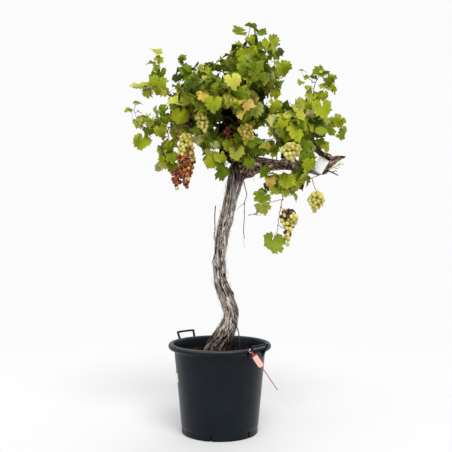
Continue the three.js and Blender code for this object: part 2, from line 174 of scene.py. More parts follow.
# ------------------------------------------------------------------ meshes
@dataclass
class Shape:
    """Points, their faces, and the values that belong to the points.

    A value named uv becomes the mesh's UV map, and any other an attribute. A face's
    ink is the number of its material.
    """

    points: Array
    triangles: Array
    quads: Array
    values: dict[str, Array] = field(default_factory=dict)
    triangle_ink: Array | None = None
    quad_ink: Array | None = None

    def __post_init__(self) -> None:
        """Give the faces the first material where none is chosen."""
        if self.triangle_ink is None:
            self.triangle_ink = np.zeros(len(self.triangles), int)
        if self.quad_ink is None:
            self.quad_ink = np.zeros(len(self.quads), int)

    @classmethod
    def joined(cls, shapes: Sequence["Shape"]) -> "Shape":
        """Put several shapes into one.

        Args:
            shapes: Shapes that carry the same values.

        Returns:
            One shape, whose faces follow the order of the shapes.
        """
        starts = np.cumsum([0] + [len(s.points) for s in shapes[:-1]])
        return cls(
            np.concatenate([s.points for s in shapes]),
            np.concatenate([s.triangles + at for s, at in zip(shapes, starts)]),
            np.concatenate([s.quads + at for s, at in zip(shapes, starts)]),
            {k: np.concatenate([s.values[k] for s in shapes]) for k in shapes[0].values},
            np.concatenate([s.triangle_ink for s in shapes]),
            np.concatenate([s.quad_ink for s in shapes]),
        )

    def build(self, name: str, finishes: Sequence[bpy.types.Material], slot: str,
              replaces: Sequence[str] = (), crease: float | None = None) -> bpy.types.Object:
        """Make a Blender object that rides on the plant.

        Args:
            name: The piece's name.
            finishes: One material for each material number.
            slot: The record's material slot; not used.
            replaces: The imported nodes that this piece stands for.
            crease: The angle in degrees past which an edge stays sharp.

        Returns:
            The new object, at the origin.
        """
        mesh = bpy.data.meshes.new(name)
        corners = np.concatenate([self.triangles.ravel(), self.quads.ravel()]).astype(np.int32)
        sizes = np.repeat([3, 4], [len(self.triangles), len(self.quads)])
        starts = np.concatenate([[0], np.cumsum(sizes)[:-1]]).astype(np.int32)
        mesh.vertices.add(len(self.points))
        mesh.vertices.foreach_set("co", self.points.astype(np.float32).ravel())
        mesh.loops.add(len(corners))
        mesh.loops.foreach_set("vertex_index", corners)
        mesh.polygons.add(len(sizes))
        mesh.polygons.foreach_set("loop_start", starts)
        mesh.update(calc_edges=True)
        mesh.polygons.foreach_set("use_smooth", np.ones(len(sizes), bool))
        inks = np.concatenate([self.triangle_ink, self.quad_ink]).astype(np.int32)
        mesh.polygons.foreach_set("material_index", inks)
        for label, value in self.values.items():
            if label == "uv":
                layer = mesh.uv_layers.new(name="uv")
                layer.data.foreach_set("uv", value[corners].astype(np.float32).ravel())
            else:
                wide = value.ndim == 2
                kind, key = ("FLOAT_VECTOR", "vector") if wide else ("FLOAT", "value")
                store = mesh.attributes.new(label, kind, "POINT")
                store.data.foreach_set(key, value.astype(np.float32).ravel())
        for finish in finishes:
            mesh.materials.append(finish)
        if crease is not None:
            mesh.set_sharp_from_angle(angle=math.radians(crease))
        mesh.validate()
        piece = bpy.data.objects.new(name, mesh)
        bpy.context.scene.collection.objects.link(piece)
        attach(piece, BODY)
        if replaces:
            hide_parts(*replaces)
        faces = 2 * len(self.quads) + len(self.triangles)
        log.info("%s: %d triangles", name, faces)
        return piece


def skins(grids: Array, values: dict[str, Array] | None = None) -> Shape:
    """Close grids of rings into skins, with a pole at the middle of each end ring.

    Each ring turns by the right hand about the way the rings advance, so the faces
    look outwards.

    Args:
        grids: The rings' points, as (skins, rings, sides, 3).
        values: Arrays of (skins, rings, sides) or (skins, rings, sides, n).

    Returns:
        One shape with all the skins.
    """
    many, rings, sides = grids.shape[:3]
    body = rings * sides
    start = (np.arange(many) * (body + 2))[:, None, None]
    row = (np.arange(rings - 1) * sides)[None, :, None]
    side = np.arange(sides)[None, None, :]
    after = (side + 1) % sides
    quads = np.stack([start + row + side, start + row + after,
                      start + row + sides + after, start + row + sides + side], -1)
    first, last = np.arange(sides), (np.arange(sides) + 1) % sides
    low = np.stack([np.full(sides, body), last, first], -1)
    high = np.stack([np.full(sides, body + 1), first + body - sides, last + body - sides], -1)
    caps = (np.arange(many) * (body + 2))[:, None, None] + np.concatenate([low, high])[None]

    def spread(grid: Array) -> Array:
        """Put each end ring's mean after the grid's own rows."""
        flat = grid.reshape(many, body, -1)
        ends = np.stack([grid[:, 0].reshape(many, sides, -1).mean(1),
                         grid[:, -1].reshape(many, sides, -1).mean(1)], 1)
        return np.concatenate([flat, ends], 1).reshape(many * (body + 2), -1)

    held = {k: spread(v) for k, v in (values or {}).items()}
    held = {k: v[:, 0] if v.shape[1] == 1 else v for k, v in held.items()}
    return Shape(spread(grids), caps.reshape(-1, 3), quads.reshape(-1, 4), held)


def frames(paths: Array) -> tuple[Array, Array, Array]:
    """Give the crosswise directions along many paths.

    The first is the world axis that the path's chord follows least, made square to
    the tangent, and the second is the tangent crossed with the first.

    Args:
        paths: The points, as (paths, steps, 3).

    Returns:
        The tangents and the two crosswise directions, each as large as paths.
    """
    along = unit(np.gradient(paths, axis=1))
    least = np.argmin(np.abs(along).max(axis=1), axis=-1)
    axis = np.eye(3)[least][:, None, :]
    across = square_to(axis, along)
    return along, across, np.cross(along, across)


def tubes(paths: Array, radii: Array | float, sides: int, values: dict[str, Array] | None = None,
          flat: float = 1.0) -> Shape:
    """Carry a round or flattened section along one path or many.

    A ring's point is the path's point, plus the radius times cos a along the first
    crosswise direction and sin a along the second.

    Args:
        paths: The points, as (paths, steps, 3), or as (steps, 3) for one path.
        radii: The section's radius: one number, (steps) or (paths, steps).
        sides: How many sides the section has.
        values: Arrays of (paths, steps), each spread over its ring.
        flat: The section's second half width against its first.

    Returns:
        The tubes as one closed shape.
    """
    paths = paths.reshape(-1, *paths.shape[-2:])
    radii = np.broadcast_to(radii, paths.shape[:2])
    _, across, over = frames(paths)
    turn = bearings_round(sides)
    ring = across[:, :, None] * np.cos(turn)[:, None] + flat * over[:, :, None] * np.sin(turn)[:, None]
    grids = paths[:, :, None] + radii[:, :, None, None] * ring
    held = {k: np.repeat(v[:, :, None], sides, 2) for k, v in (values or {}).items()}
    return skins(grids, held)


@dataclass(frozen=True)
class Spine:
    """A limb's centre line and its radius, from one end to the other."""

    points: Array
    radii: Array

    @classmethod
    def of_node(cls, node: str, axis: int, trim: tuple[float, float] = (0.05, 0.02),
                cuts: int = 72) -> "Spine":
        """Read a limb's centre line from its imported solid.

        The solid is cut by level planes across one axis. Each cut's middle lies on the
        centre line, and the smaller of its half widths is the radius.

        Args:
            node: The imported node's name.
            axis: 0, 1 or 2, the axis that the limb runs along.
            trim: The parts of the length left out at the low and the high end.
            cuts: How many planes there are.

        Returns:
            The spine, running up the axis.
        """
        corners, faces = solid_of(node)
        low, high = corners[:, axis].min(), corners[:, axis].max()
        levels = np.linspace(low + trim[0] * (high - low), high - trim[1] * (high - low), cuts)
        sides = np.concatenate([faces[:, [0, 1]], faces[:, [1, 2]], faces[:, [2, 0]]])
        a, b = corners[sides[:, 0]], corners[sides[:, 1]]
        share = (levels[:, None] - a[None, :, axis]) / (b[:, axis] - a[:, axis] + 1e-12)[None]
        hit = (share > 0) & (share < 1)
        cut = a[None] + np.clip(share, 0, 1)[..., None] * (b - a)[None]
        least = np.where(hit[..., None], cut, np.inf).min(axis=1)
        most = np.where(hit[..., None], cut, -np.inf).max(axis=1)
        across = [i for i in range(3) if i != axis]
        return cls((least + most) / 2, ((most - least) / 2)[:, across].min(axis=1)).smoothed()

    def smoothed(self) -> "Spine":
        """Even out the steps that come from a solid's flat faces."""
        rows = np.column_stack([self.points, self.radii])
        padded = np.concatenate([rows[:1]] * 2 + [rows] + [rows[-1:]] * 2)
        weights = (0.1, 0.2, 0.4, 0.2, 0.1)
        even = sum(w * padded[i:i + len(rows)] for i, w in enumerate(weights))
        even[[0, -1]] = rows[[0, -1]]
        return Spine(even[:, :3], even[:, 3])

    def reversed(self) -> "Spine":
        """Run the other way."""
        return Spine(self.points[::-1], self.radii[::-1])

    def reaching(self, before: float, after: float, taper: float = 1.0) -> "Spine":
        """Lengthen both ends along their own directions.

        Args:
            before: The length added in front of the start.
            after: The length added past the end.
            taper: The end's radius against the radius that it had.

        Returns:
            The longer spine.
        """
        first = unit(self.points[0] - self.points[4])
        final = unit(self.points[-1] - self.points[-5])
        points = [self.points[0] + first * before, *self.points, self.points[-1] + final * after]
        return Spine(np.array(points), np.array([self.radii[0], *self.radii, self.radii[-1] * taper]))

    def even(self, count: int) -> "Spine":
        """Space the points evenly along the length."""
        run = self.run()
        place = np.linspace(0, run[-1], count)
        columns = [np.interp(place, run, c) for c in (*self.points.T, self.radii)]
        return Spine(np.stack(columns[:3], -1), columns[3])

    def run(self) -> Array:
        """Measure the length from the start to each point."""
        return np.concatenate([[0], np.cumsum(np.linalg.norm(np.diff(self.points, axis=0), axis=1))])


def solid_of(node: str) -> tuple[Array, Array]:
    """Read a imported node's corners and triangles.

    Args:
        node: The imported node's name.

    Returns:
        The corners as (n, 3) and the triangles as (m, 3).
    """
    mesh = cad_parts[node].data
    mesh.calc_loop_triangles()
    corners = np.zeros(len(mesh.vertices) * 3)
    mesh.vertices.foreach_get("co", corners)
    faces = np.zeros(len(mesh.loop_triangles) * 3, np.int32)
    mesh.loop_triangles.foreach_get("vertices", faces)
    return corners.reshape(-1, 3), faces.reshape(-1, 3)


def within(points: Array, corners: Array, faces: Array) -> Array:
    """Tell which points lie inside a closed solid.

    The solid angles of all its triangles, seen from a point, add up to a full
    sphere inside and to nothing outside.

    Args:
        points: The points, as (n, 3).
        corners: The solid's corners.
        faces: Its triangles.

    Returns:
        True for each point inside.
    """
    sums = []
    for part in np.array_split(points, max(1, len(points) * len(faces) // 400000)):
        a, b, c = (corners[faces[:, i]][None] - part[:, None] for i in range(3))
        la, lb, lc = (np.linalg.norm(v, axis=-1) for v in (a, b, c))
        top = np.sum(a * np.cross(b, c), -1)
        under = la * lb * lc + np.sum(a * b, -1) * lc + np.sum(b * c, -1) * la + np.sum(c * a, -1) * lb
        sums.append(2 * np.arctan2(top, under).sum(1))
    return np.abs(np.concatenate(sums)) > 2 * np.pi


# ------------------------------------------------------------------ shader sheets
def _operator(operation: str, swapped: bool = False) -> Callable[["Wire", "Wire | float"], "Wire"]:
    """Make a method that joins a wire to another value with a Math node.

    Args:
        operation: The Math node's operation.
        swapped: Whether the other value comes first, as a reflected operator has it.

    Returns:
        The method.
    """

    def method(self: "Wire", other: "Wire | float") -> "Wire":
        """Join this wire to the other value."""
        sides = (other, self) if swapped else (self, other)
        return self.sheet.math(operation, *sides)

    return method


class Wire:
    """A socket that gives a value or a colour. Python's operators add Math nodes."""

    def __init__(self, sheet: "Sheet", socket: bpy.types.NodeSocket) -> None:
        """Hold the socket and the sheet that it is on."""
        self.sheet = sheet
        self.socket = socket

    __add__ = __radd__ = _operator("ADD")
    __sub__ = _operator("SUBTRACT")
    __rsub__ = _operator("SUBTRACT", swapped=True)
    __mul__ = __rmul__ = _operator("MULTIPLY")
    above = _operator("GREATER_THAN")
    greatest = _operator("MAXIMUM")

    def __abs__(self) -> "Wire":
        """Drop the sign."""
        return self.sheet.math("ABSOLUTE", self, 0.0)

    def fade(self, low: float, high: float) -> "Wire":
        """Rise smoothly from 0 at low to 1 at high, or fall if low is the greater."""
        node = self.sheet.node("ShaderNodeMapRange", {"interpolation_type": "SMOOTHSTEP"},
                               {"Value": self, "From Min": low, "From Max": high})
        return Wire(self.sheet, node.outputs["Result"])


class Sheet:
    """One material's node tree, with a Principled shader to feed."""

    def __init__(self, name: str) -> None:
        """Start an empty material."""
        self.material = bpy.data.materials.new(name)
        self.material.use_nodes = True
        self.tree = self.material.node_tree
        self.shader = self.tree.nodes["Principled BSDF"]

    def node(self, kind: str, settings: dict | None = None, sockets: dict | None = None) -> bpy.types.Node:
        """Add a node.

        Args:
            kind: The node's type.
            settings: Its settings, such as a Math node's operation or a ramp's stops.
            sockets: A value or a wire for each input, by name or number.

        Returns:
            The node.
        """
        node = self.tree.nodes.new(kind)
        for key, value in (settings or {}).items():
            if key == "stops":
                self._stops(node.color_ramp, value)
            else:
                setattr(node, key, value)
        for key, value in (sockets or {}).items():
            if isinstance(value, Wire):
                self.tree.links.new(value.socket, node.inputs[key])
            else:
                node.inputs[key].default_value = value
        return node

    @staticmethod
    def _stops(ramp: bpy.types.ColorRamp, stops: Sequence[tuple[float, Colour]]) -> None:
        """Give a ramp its stops."""
        while len(ramp.elements) < len(stops):
            ramp.elements.new(1.0)
        for element, (place, colour) in zip(ramp.elements, stops):
            element.position = place
            element.color = (*colour, 1.0)

    def math(self, operation: str, first: "Wire | float", second: "Wire | float") -> Wire:
        """Join two values with a Math node."""
        node = self.node("ShaderNodeMath", {"operation": operation}, {0: first, 1: second})
        return Wire(self, node.outputs[0])

    def axes(self, vector: Wire) -> list[Wire]:
        """Split a vector into x, y and z."""
        return [Wire(self, axis) for axis in self.node("ShaderNodeSeparateXYZ", {}, {0: vector}).outputs]

    def length(self, vector: Wire) -> Wire:
        """Measure a vector."""
        node = self.node("ShaderNodeVectorMath", {"operation": "LENGTH"}, {0: vector})
        return Wire(self, node.outputs["Value"])

    def place(self) -> Wire:
        """Give the point in the object's own coordinates."""
        return Wire(self, self.node("ShaderNodeTexCoord").outputs["Object"])

    def value(self, name: str) -> Wire:
        """Give a number that the mesh's points carry."""
        return Wire(self, self.node("ShaderNodeAttribute", {"attribute_name": name}).outputs["Fac"])

    def vector(self, name: str, scale: Point = (1, 1, 1)) -> Wire:
        """Give a vector that the mesh's points carry, stretched along its axes."""
        held = Wire(self, self.node("ShaderNodeAttribute", {"attribute_name": name}).outputs["Vector"])
        return self.stretched(held, scale)

    def stretched(self, vector: Wire, scale: Point) -> Wire:
        """Scale a vector along its axes."""
        return Wire(self, self.node("ShaderNodeMapping", {}, {"Vector": vector, "Scale": scale}).outputs[0])

    def noise(self, vector: Wire, scale: float, detail: float = 3.0, warp: float = 0.0) -> Wire:
        """Sample fractal noise, from 0 to 1."""
        node = self.node("ShaderNodeTexNoise", {}, {"Vector": vector, "Scale": scale, "Detail": detail,
                                                    "Distortion": warp})
        return Wire(self, node.outputs["Fac"])

    def mix(self, factor: "Wire | float", low: "Wire | Colour", high: "Wire | Colour",
            how: str = "MIX") -> Wire:
        """Mix two colours."""
        ends = [c if isinstance(c, Wire) else (*c, 1.0) for c in (low, high)]
        node = self.node("ShaderNodeMix", {"data_type": "RGBA", "blend_type": how},
                         {0: factor, 6: ends[0], 7: ends[1]})
        return Wire(self, node.outputs[2])

    def ramp(self, value: Wire, stops: Sequence[tuple[float, Colour]]) -> Wire:
        """Turn a value into a colour."""
        return Wire(self, self.node("ShaderNodeValToRGB", {"stops": stops}, {0: value}).outputs[0])

    def relief(self, height: Wire, depth: float, strength: float = 1.0) -> Wire:
        """Turn a height into a bumped normal, with its depth in metres."""
        node = self.node("ShaderNodeBump", {}, {"Height": height, "Distance": depth, "Strength": strength})
        return Wire(self, node.outputs[0])

    def finish(self, **sockets: "Wire | float | Colour") -> bpy.types.Material:
        """Feed the shader and give the material.

        Args:
            sockets: Values or wires, named as the shader's sockets with _ for a space.

        Returns:
            The material.
        """
        for key, value in sockets.items():
            socket = self.shader.inputs[key.replace("_", " ")]
            if isinstance(value, Wire):
                self.tree.links.new(value.socket, socket)
            else:
                socket.default_value = (*value, 1.0) if isinstance(value, tuple) else value
        return self.material


# ------------------------------------------------------------------ finishes
@dataclass(frozen=True)
class MouldedPlastic:
    """Matt blow-moulded plastic with a fine grain, rubbed marks and a little dust."""

    name: str
    colour: Colour = paint(7, 16, 23)
    rubbed: Colour = paint(19, 30, 39)
    dust: Colour = paint(46, 46, 44)
    # The pale colour that the lip's top takes above a height: a painted highlight.
    pale_patch: Colour = paint(66, 70, 74)
    roughness: float = 0.25
    dusty: float = 0.05
    # The height above which the lip's top gets the painted highlight.
    painted_sheen_above: float | None = None

    def material(self) -> bpy.types.Material:
        """Make the material."""
        sheet = Sheet(self.name)
        place = sheet.place()
        cloud = sheet.noise(place, 9.0, 5.0)
        streak = sheet.noise(sheet.stretched(place, (60, 60, 5)), 1.0, 4.0)
        scratch = sheet.noise(sheet.stretched(place, (18, 18, 150)), 2.5, 2.0, 1.5).fade(0.66, 0.74)
        colour = sheet.mix(cloud.fade(0.35, 0.8) * 0.35, self.colour, self.rubbed)
        colour = sheet.mix(streak.fade(0.52, 0.75) * cloud.fade(0.4, 0.65) * self.dusty, colour, self.dust)
        colour = sheet.mix(scratch * 0.25, colour, self.rubbed)
        # Painted highlight: above the height the colour lightens in patches along the lip's top.
        if self.painted_sheen_above is not None:
            height = sheet.axes(place)[2]
            edge = height.fade(self.painted_sheen_above, self.painted_sheen_above + 0.010) * cloud.fade(0.2, 0.6)
            colour = sheet.mix(edge * 0.8, colour, self.pale_patch)
        grain = sheet.noise(place, 1400.0, 2.0)
        return sheet.finish(
            Base_Color=colour, Roughness=self.roughness + cloud * 0.16 + scratch * 0.1,
            Specular_IOR_Level=0.18, Normal=sheet.relief(grain * 0.6 + cloud * 4.0, 0.0002, 0.6))


@dataclass(frozen=True)
class OldBark:
    """Shaggy vine bark: grey fibres over brown, with black crevices and rusty patches.

    It reads the attributes relief (0 in a crevice, 1 on a ridge), tone (a strip's own
    shade), shade (0 bleached, 1 dark) and grain (a vector that follows the fibres).
    The black of the crevices and the pale of the ridges are partly the bark's own
    colour and partly painted shade and painted highlight; a high shade on the trunk's
    head and on the limbs within the crown is partly painted shade under the crown.
    """

    name: str
    bleached: tuple[Colour, ...] = (
        paint(30, 22, 18), paint(102, 88, 77), paint(172, 160, 149), paint(222, 214, 206))
    dark: tuple[Colour, ...] = (paint(14, 10, 8), paint(44, 36, 30), paint(84, 74, 65), paint(136, 124, 113))
    rust: Colour = paint(124, 76, 50)
    stops: tuple[float, ...] = (0.10, 0.33, 0.58, 0.95)

    def material(self) -> bpy.types.Material:
        """Make the material."""
        sheet = Sheet(self.name)
        fibre = sheet.noise(sheet.vector("grain", (1, 1, 0.10)), 900.0, 3.0)
        strand = sheet.noise(sheet.vector("grain", (1, 1, 0.20)), 300.0, 4.0, 0.8)
        fleck = sheet.noise(sheet.vector("grain", (1, 1, 0.30)), 190.0, 3.0, 0.5)
        level = sheet.value("relief") + (fibre - 0.5) * 0.34 + (strand - 0.5) * 0.62
        level = level + (sheet.value("tone") - 0.5) * 0.20 - fleck.fade(0.54, 0.64) * 0.36
        # The ramps run from black in the crevices to palest on the ridges: partly bark colour, partly painted
        # shade and painted highlight.
        grey = sheet.ramp(level, list(zip(self.stops, self.bleached)))
        brown = sheet.ramp(level, list(zip(self.stops, self.dark)))
        patch = sheet.noise(sheet.place(), 26.0, 3.0, 0.8)
        colour = sheet.mix((sheet.value("shade") + (patch - 0.5) * 0.5).fade(0.15, 0.85), grey, brown)
        rusty = sheet.noise(sheet.vector("grain", (1, 1, 0.25)), 46.0, 3.0).fade(0.60, 0.72)
        colour = sheet.mix(rusty * 0.5 * level.fade(0.1, 0.5), colour, self.rust)
        return sheet.finish(Base_Color=colour, Roughness=0.88, Specular_IOR_Level=0.2,
                            Normal=sheet.relief(fibre * 0.6 + strand, 0.0016, 0.8))


@dataclass(frozen=True)
class CaneSkin:
    """A young or ripened cane: fine lengthwise lines and darker blotches."""

    name: str
    colour: Colour
    blotch: Colour
    roughness: float = 0.55

    def material(self) -> bpy.types.Material:
        """Make the material."""
        sheet = Sheet(self.name)
        place = sheet.place()
        blotch = sheet.noise(place, 38.0, 4.0, 0.5)
        fine = sheet.noise(place, 420.0, 2.0)
        colour = sheet.mix(blotch.fade(0.38, 0.66), self.colour, self.blotch)
        colour = sheet.mix(fine.fade(0.55, 0.8) * 0.35, colour, self.blotch, "MULTIPLY")
        return sheet.finish(Base_Color=colour, Roughness=self.roughness, Specular_IOR_Level=0.35,
                            Normal=sheet.relief(fine + blotch, 0.0008, 0.5))


# Half the width of a leaf's rib, in lengths of the leaf: where it has faded out, and where it is full.
VEIN_HALF_WIDTHS = (0.030, 0.006)


@dataclass(frozen=True)
class LeafSkin:
    """One side of a vine leaf: five pale ribs, side veins and a mottled blade.

    It reads the leaf's own plan as its UV map, with the ribs running from (0, 0), and
    the attribute tone, which is one number for a whole leaf.
    """

    name: str
    colour: Colour
    rib: Colour
    ripe: Colour
    roughness: float = 0.5
    spread: float = 0.30
    turning: float = 0.42
    ribs: tuple[float, ...] = (0.0, 46.0, 100.0)

    def material(self) -> bpy.types.Material:
        """Make the material.

        The ripe colour creeps in from the rim, by the distance from (0, 0) and a slow
        noise, and most on the leaves of a high tone.
        """
        sheet = Sheet(self.name)
        plan = Wire(sheet, sheet.node("ShaderNodeUVMap", {"uv_map": "uv"}).outputs[0])
        x, along, _ = sheet.axes(plan)
        across = abs(x)
        far = sheet.length(plan)
        veins = self._vein(across, along, self.ribs[0])
        for bearing in self.ribs[1:]:
            veins = veins.greatest(self._vein(across, along, bearing))
        side = sheet.noise(sheet.stretched(plan, (7, 7, 1)), 1.6, 2.0, 0.6)
        mottle = sheet.noise(sheet.place(), 90.0, 3.0)
        slow = sheet.noise(sheet.place(), 28.0, 2.0)
        tone = sheet.value("tone")
        dull = tuple(c * (1 - self.spread * hue) for c, hue in zip(self.colour, (1.35, 1.0, 1.4)))
        bright = tuple(min(1.0, c * (1 + self.spread * hue)) for c, hue in zip(self.colour, (1.2, 0.95, 0.9)))
        colour = sheet.mix(tone, dull, bright)
        colour = sheet.mix(side.fade(0.35, 0.75) * self.turning, colour, self.ripe)
        rim = far.fade(0.45, 0.95) * (slow + tone * 0.3).fade(0.66, 0.84)
        colour = sheet.mix(rim * 0.7, colour, self.ripe)
        colour = sheet.mix(mottle.fade(0.45, 0.75) * 0.55, colour, dull)
        colour = sheet.mix(veins * 0.4, colour, self.rib)
        height = mottle * 0.5 - veins + side
        return sheet.finish(Base_Color=colour, Roughness=self.roughness + mottle * 0.12,
                            Specular_IOR_Level=0.14, Normal=sheet.relief(height, 0.0016, 0.8))

    @staticmethod
    def _vein(across: Wire, along: Wire, bearing: float) -> Wire:
        """Mark the line that leaves (0, 0) at a bearing from the leaf's tip."""
        turn = math.radians(bearing)
        off = abs(across * math.cos(turn) - along * math.sin(turn))
        ahead = across * math.sin(turn) + along * math.cos(turn)
        return off.fade(*VEIN_HALF_WIDTHS) * ahead.above(0.0)


@dataclass(frozen=True)
class BerrySkin:
    """A grape's taut skin, under a thin bloom. It reads the attribute tone."""

    name: str
    colour: Colour
    deep: Colour
    bloom: Colour
    bloomed: float = 0.3

    def material(self) -> bpy.types.Material:
        """Make the material."""
        sheet = Sheet(self.name)
        place = sheet.place()
        cloud = sheet.noise(place, 130.0, 3.0)
        speck = sheet.noise(place, 700.0, 2.0)
        colour = sheet.mix((sheet.value("tone") + (cloud - 0.5) * 0.5).fade(0.1, 0.9), self.colour, self.deep)
        colour = sheet.mix(cloud.fade(0.45, 0.75) * self.bloomed, colour, self.bloom)
        colour = sheet.mix(speck.fade(0.66, 0.78) * 0.4, colour, self.deep)
        return sheet.finish(Base_Color=colour, Roughness=0.26 + cloud * 0.22, Specular_IOR_Level=0.4,
                            Normal=sheet.relief(cloud, 0.0004, 0.4))


@dataclass(frozen=True)
class MulchGrain:
    """Composted bark: one shade from dark to light, broken up by fibres."""

    name: str
    dark: Colour
    light: Colour

    def material(self) -> bpy.types.Material:
        """Make the material."""
        sheet = Sheet(self.name)
        place = sheet.place()
        lump = sheet.noise(place, 60.0, 4.0, 0.4)
        fibre = sheet.noise(sheet.stretched(place, (1, 1, 3)), 420.0, 3.0)
        colour = sheet.mix((lump * 0.6 + fibre * 0.4).fade(0.34, 0.68), self.dark, self.light)
        return sheet.finish(Base_Color=colour, Roughness=0.92, Specular_IOR_Level=0.2,
                            Normal=sheet.relief(fibre + lump, 0.0015, 0.8))


@dataclass(frozen=True)
class ThinPlastic:
    """Thin tag plastic with faint flow lines, a little sheen and handling marks."""

    name: str
    colour: Colour
    pale_patch: Colour
    roughness: float = 0.35

    def material(self) -> bpy.types.Material:
        """Make the material."""
        sheet = Sheet(self.name)
        place = sheet.place()
        cloud = sheet.noise(place, 55.0, 4.0)
        fine = sheet.noise(place, 900.0, 2.0)
        colour = sheet.mix(cloud.fade(0.4, 0.75) * 0.6, self.colour, self.pale_patch)
        return sheet.finish(Base_Color=colour, Roughness=self.roughness + cloud * 0.15,
                            Specular_IOR_Level=0.5, Normal=sheet.relief(fine, 0.0001, 0.5))


@dataclass(frozen=True)
class CardStock:
    """Coated card, slightly mottled, with its fibres showing in raking light."""

    name: str
    colour: Colour
    mottle: Colour

    def material(self) -> bpy.types.Material:
        """Make the material."""
        sheet = Sheet(self.name)
        place = sheet.place()
        cloud = sheet.noise(place, 30.0, 3.0)
        fibre = sheet.noise(place, 800.0, 3.0, 0.5)
        colour = sheet.mix(cloud.fade(0.35, 0.7) * 0.5 + fibre * 0.15, self.colour, self.mottle)
        return sheet.finish(Base_Color=colour, Roughness=0.5 + fibre * 0.15,
                            Normal=sheet.relief(fibre, 0.0001, 0.6))


# ------------------------------------------------------------------ the pot and what is in it
@dataclass(frozen=True)
class Handle:
    """A bail that stands on the outside of the rim."""

    node: str
    bearing: float
    bar_reach: float
    bar_height: float
    sheen: float


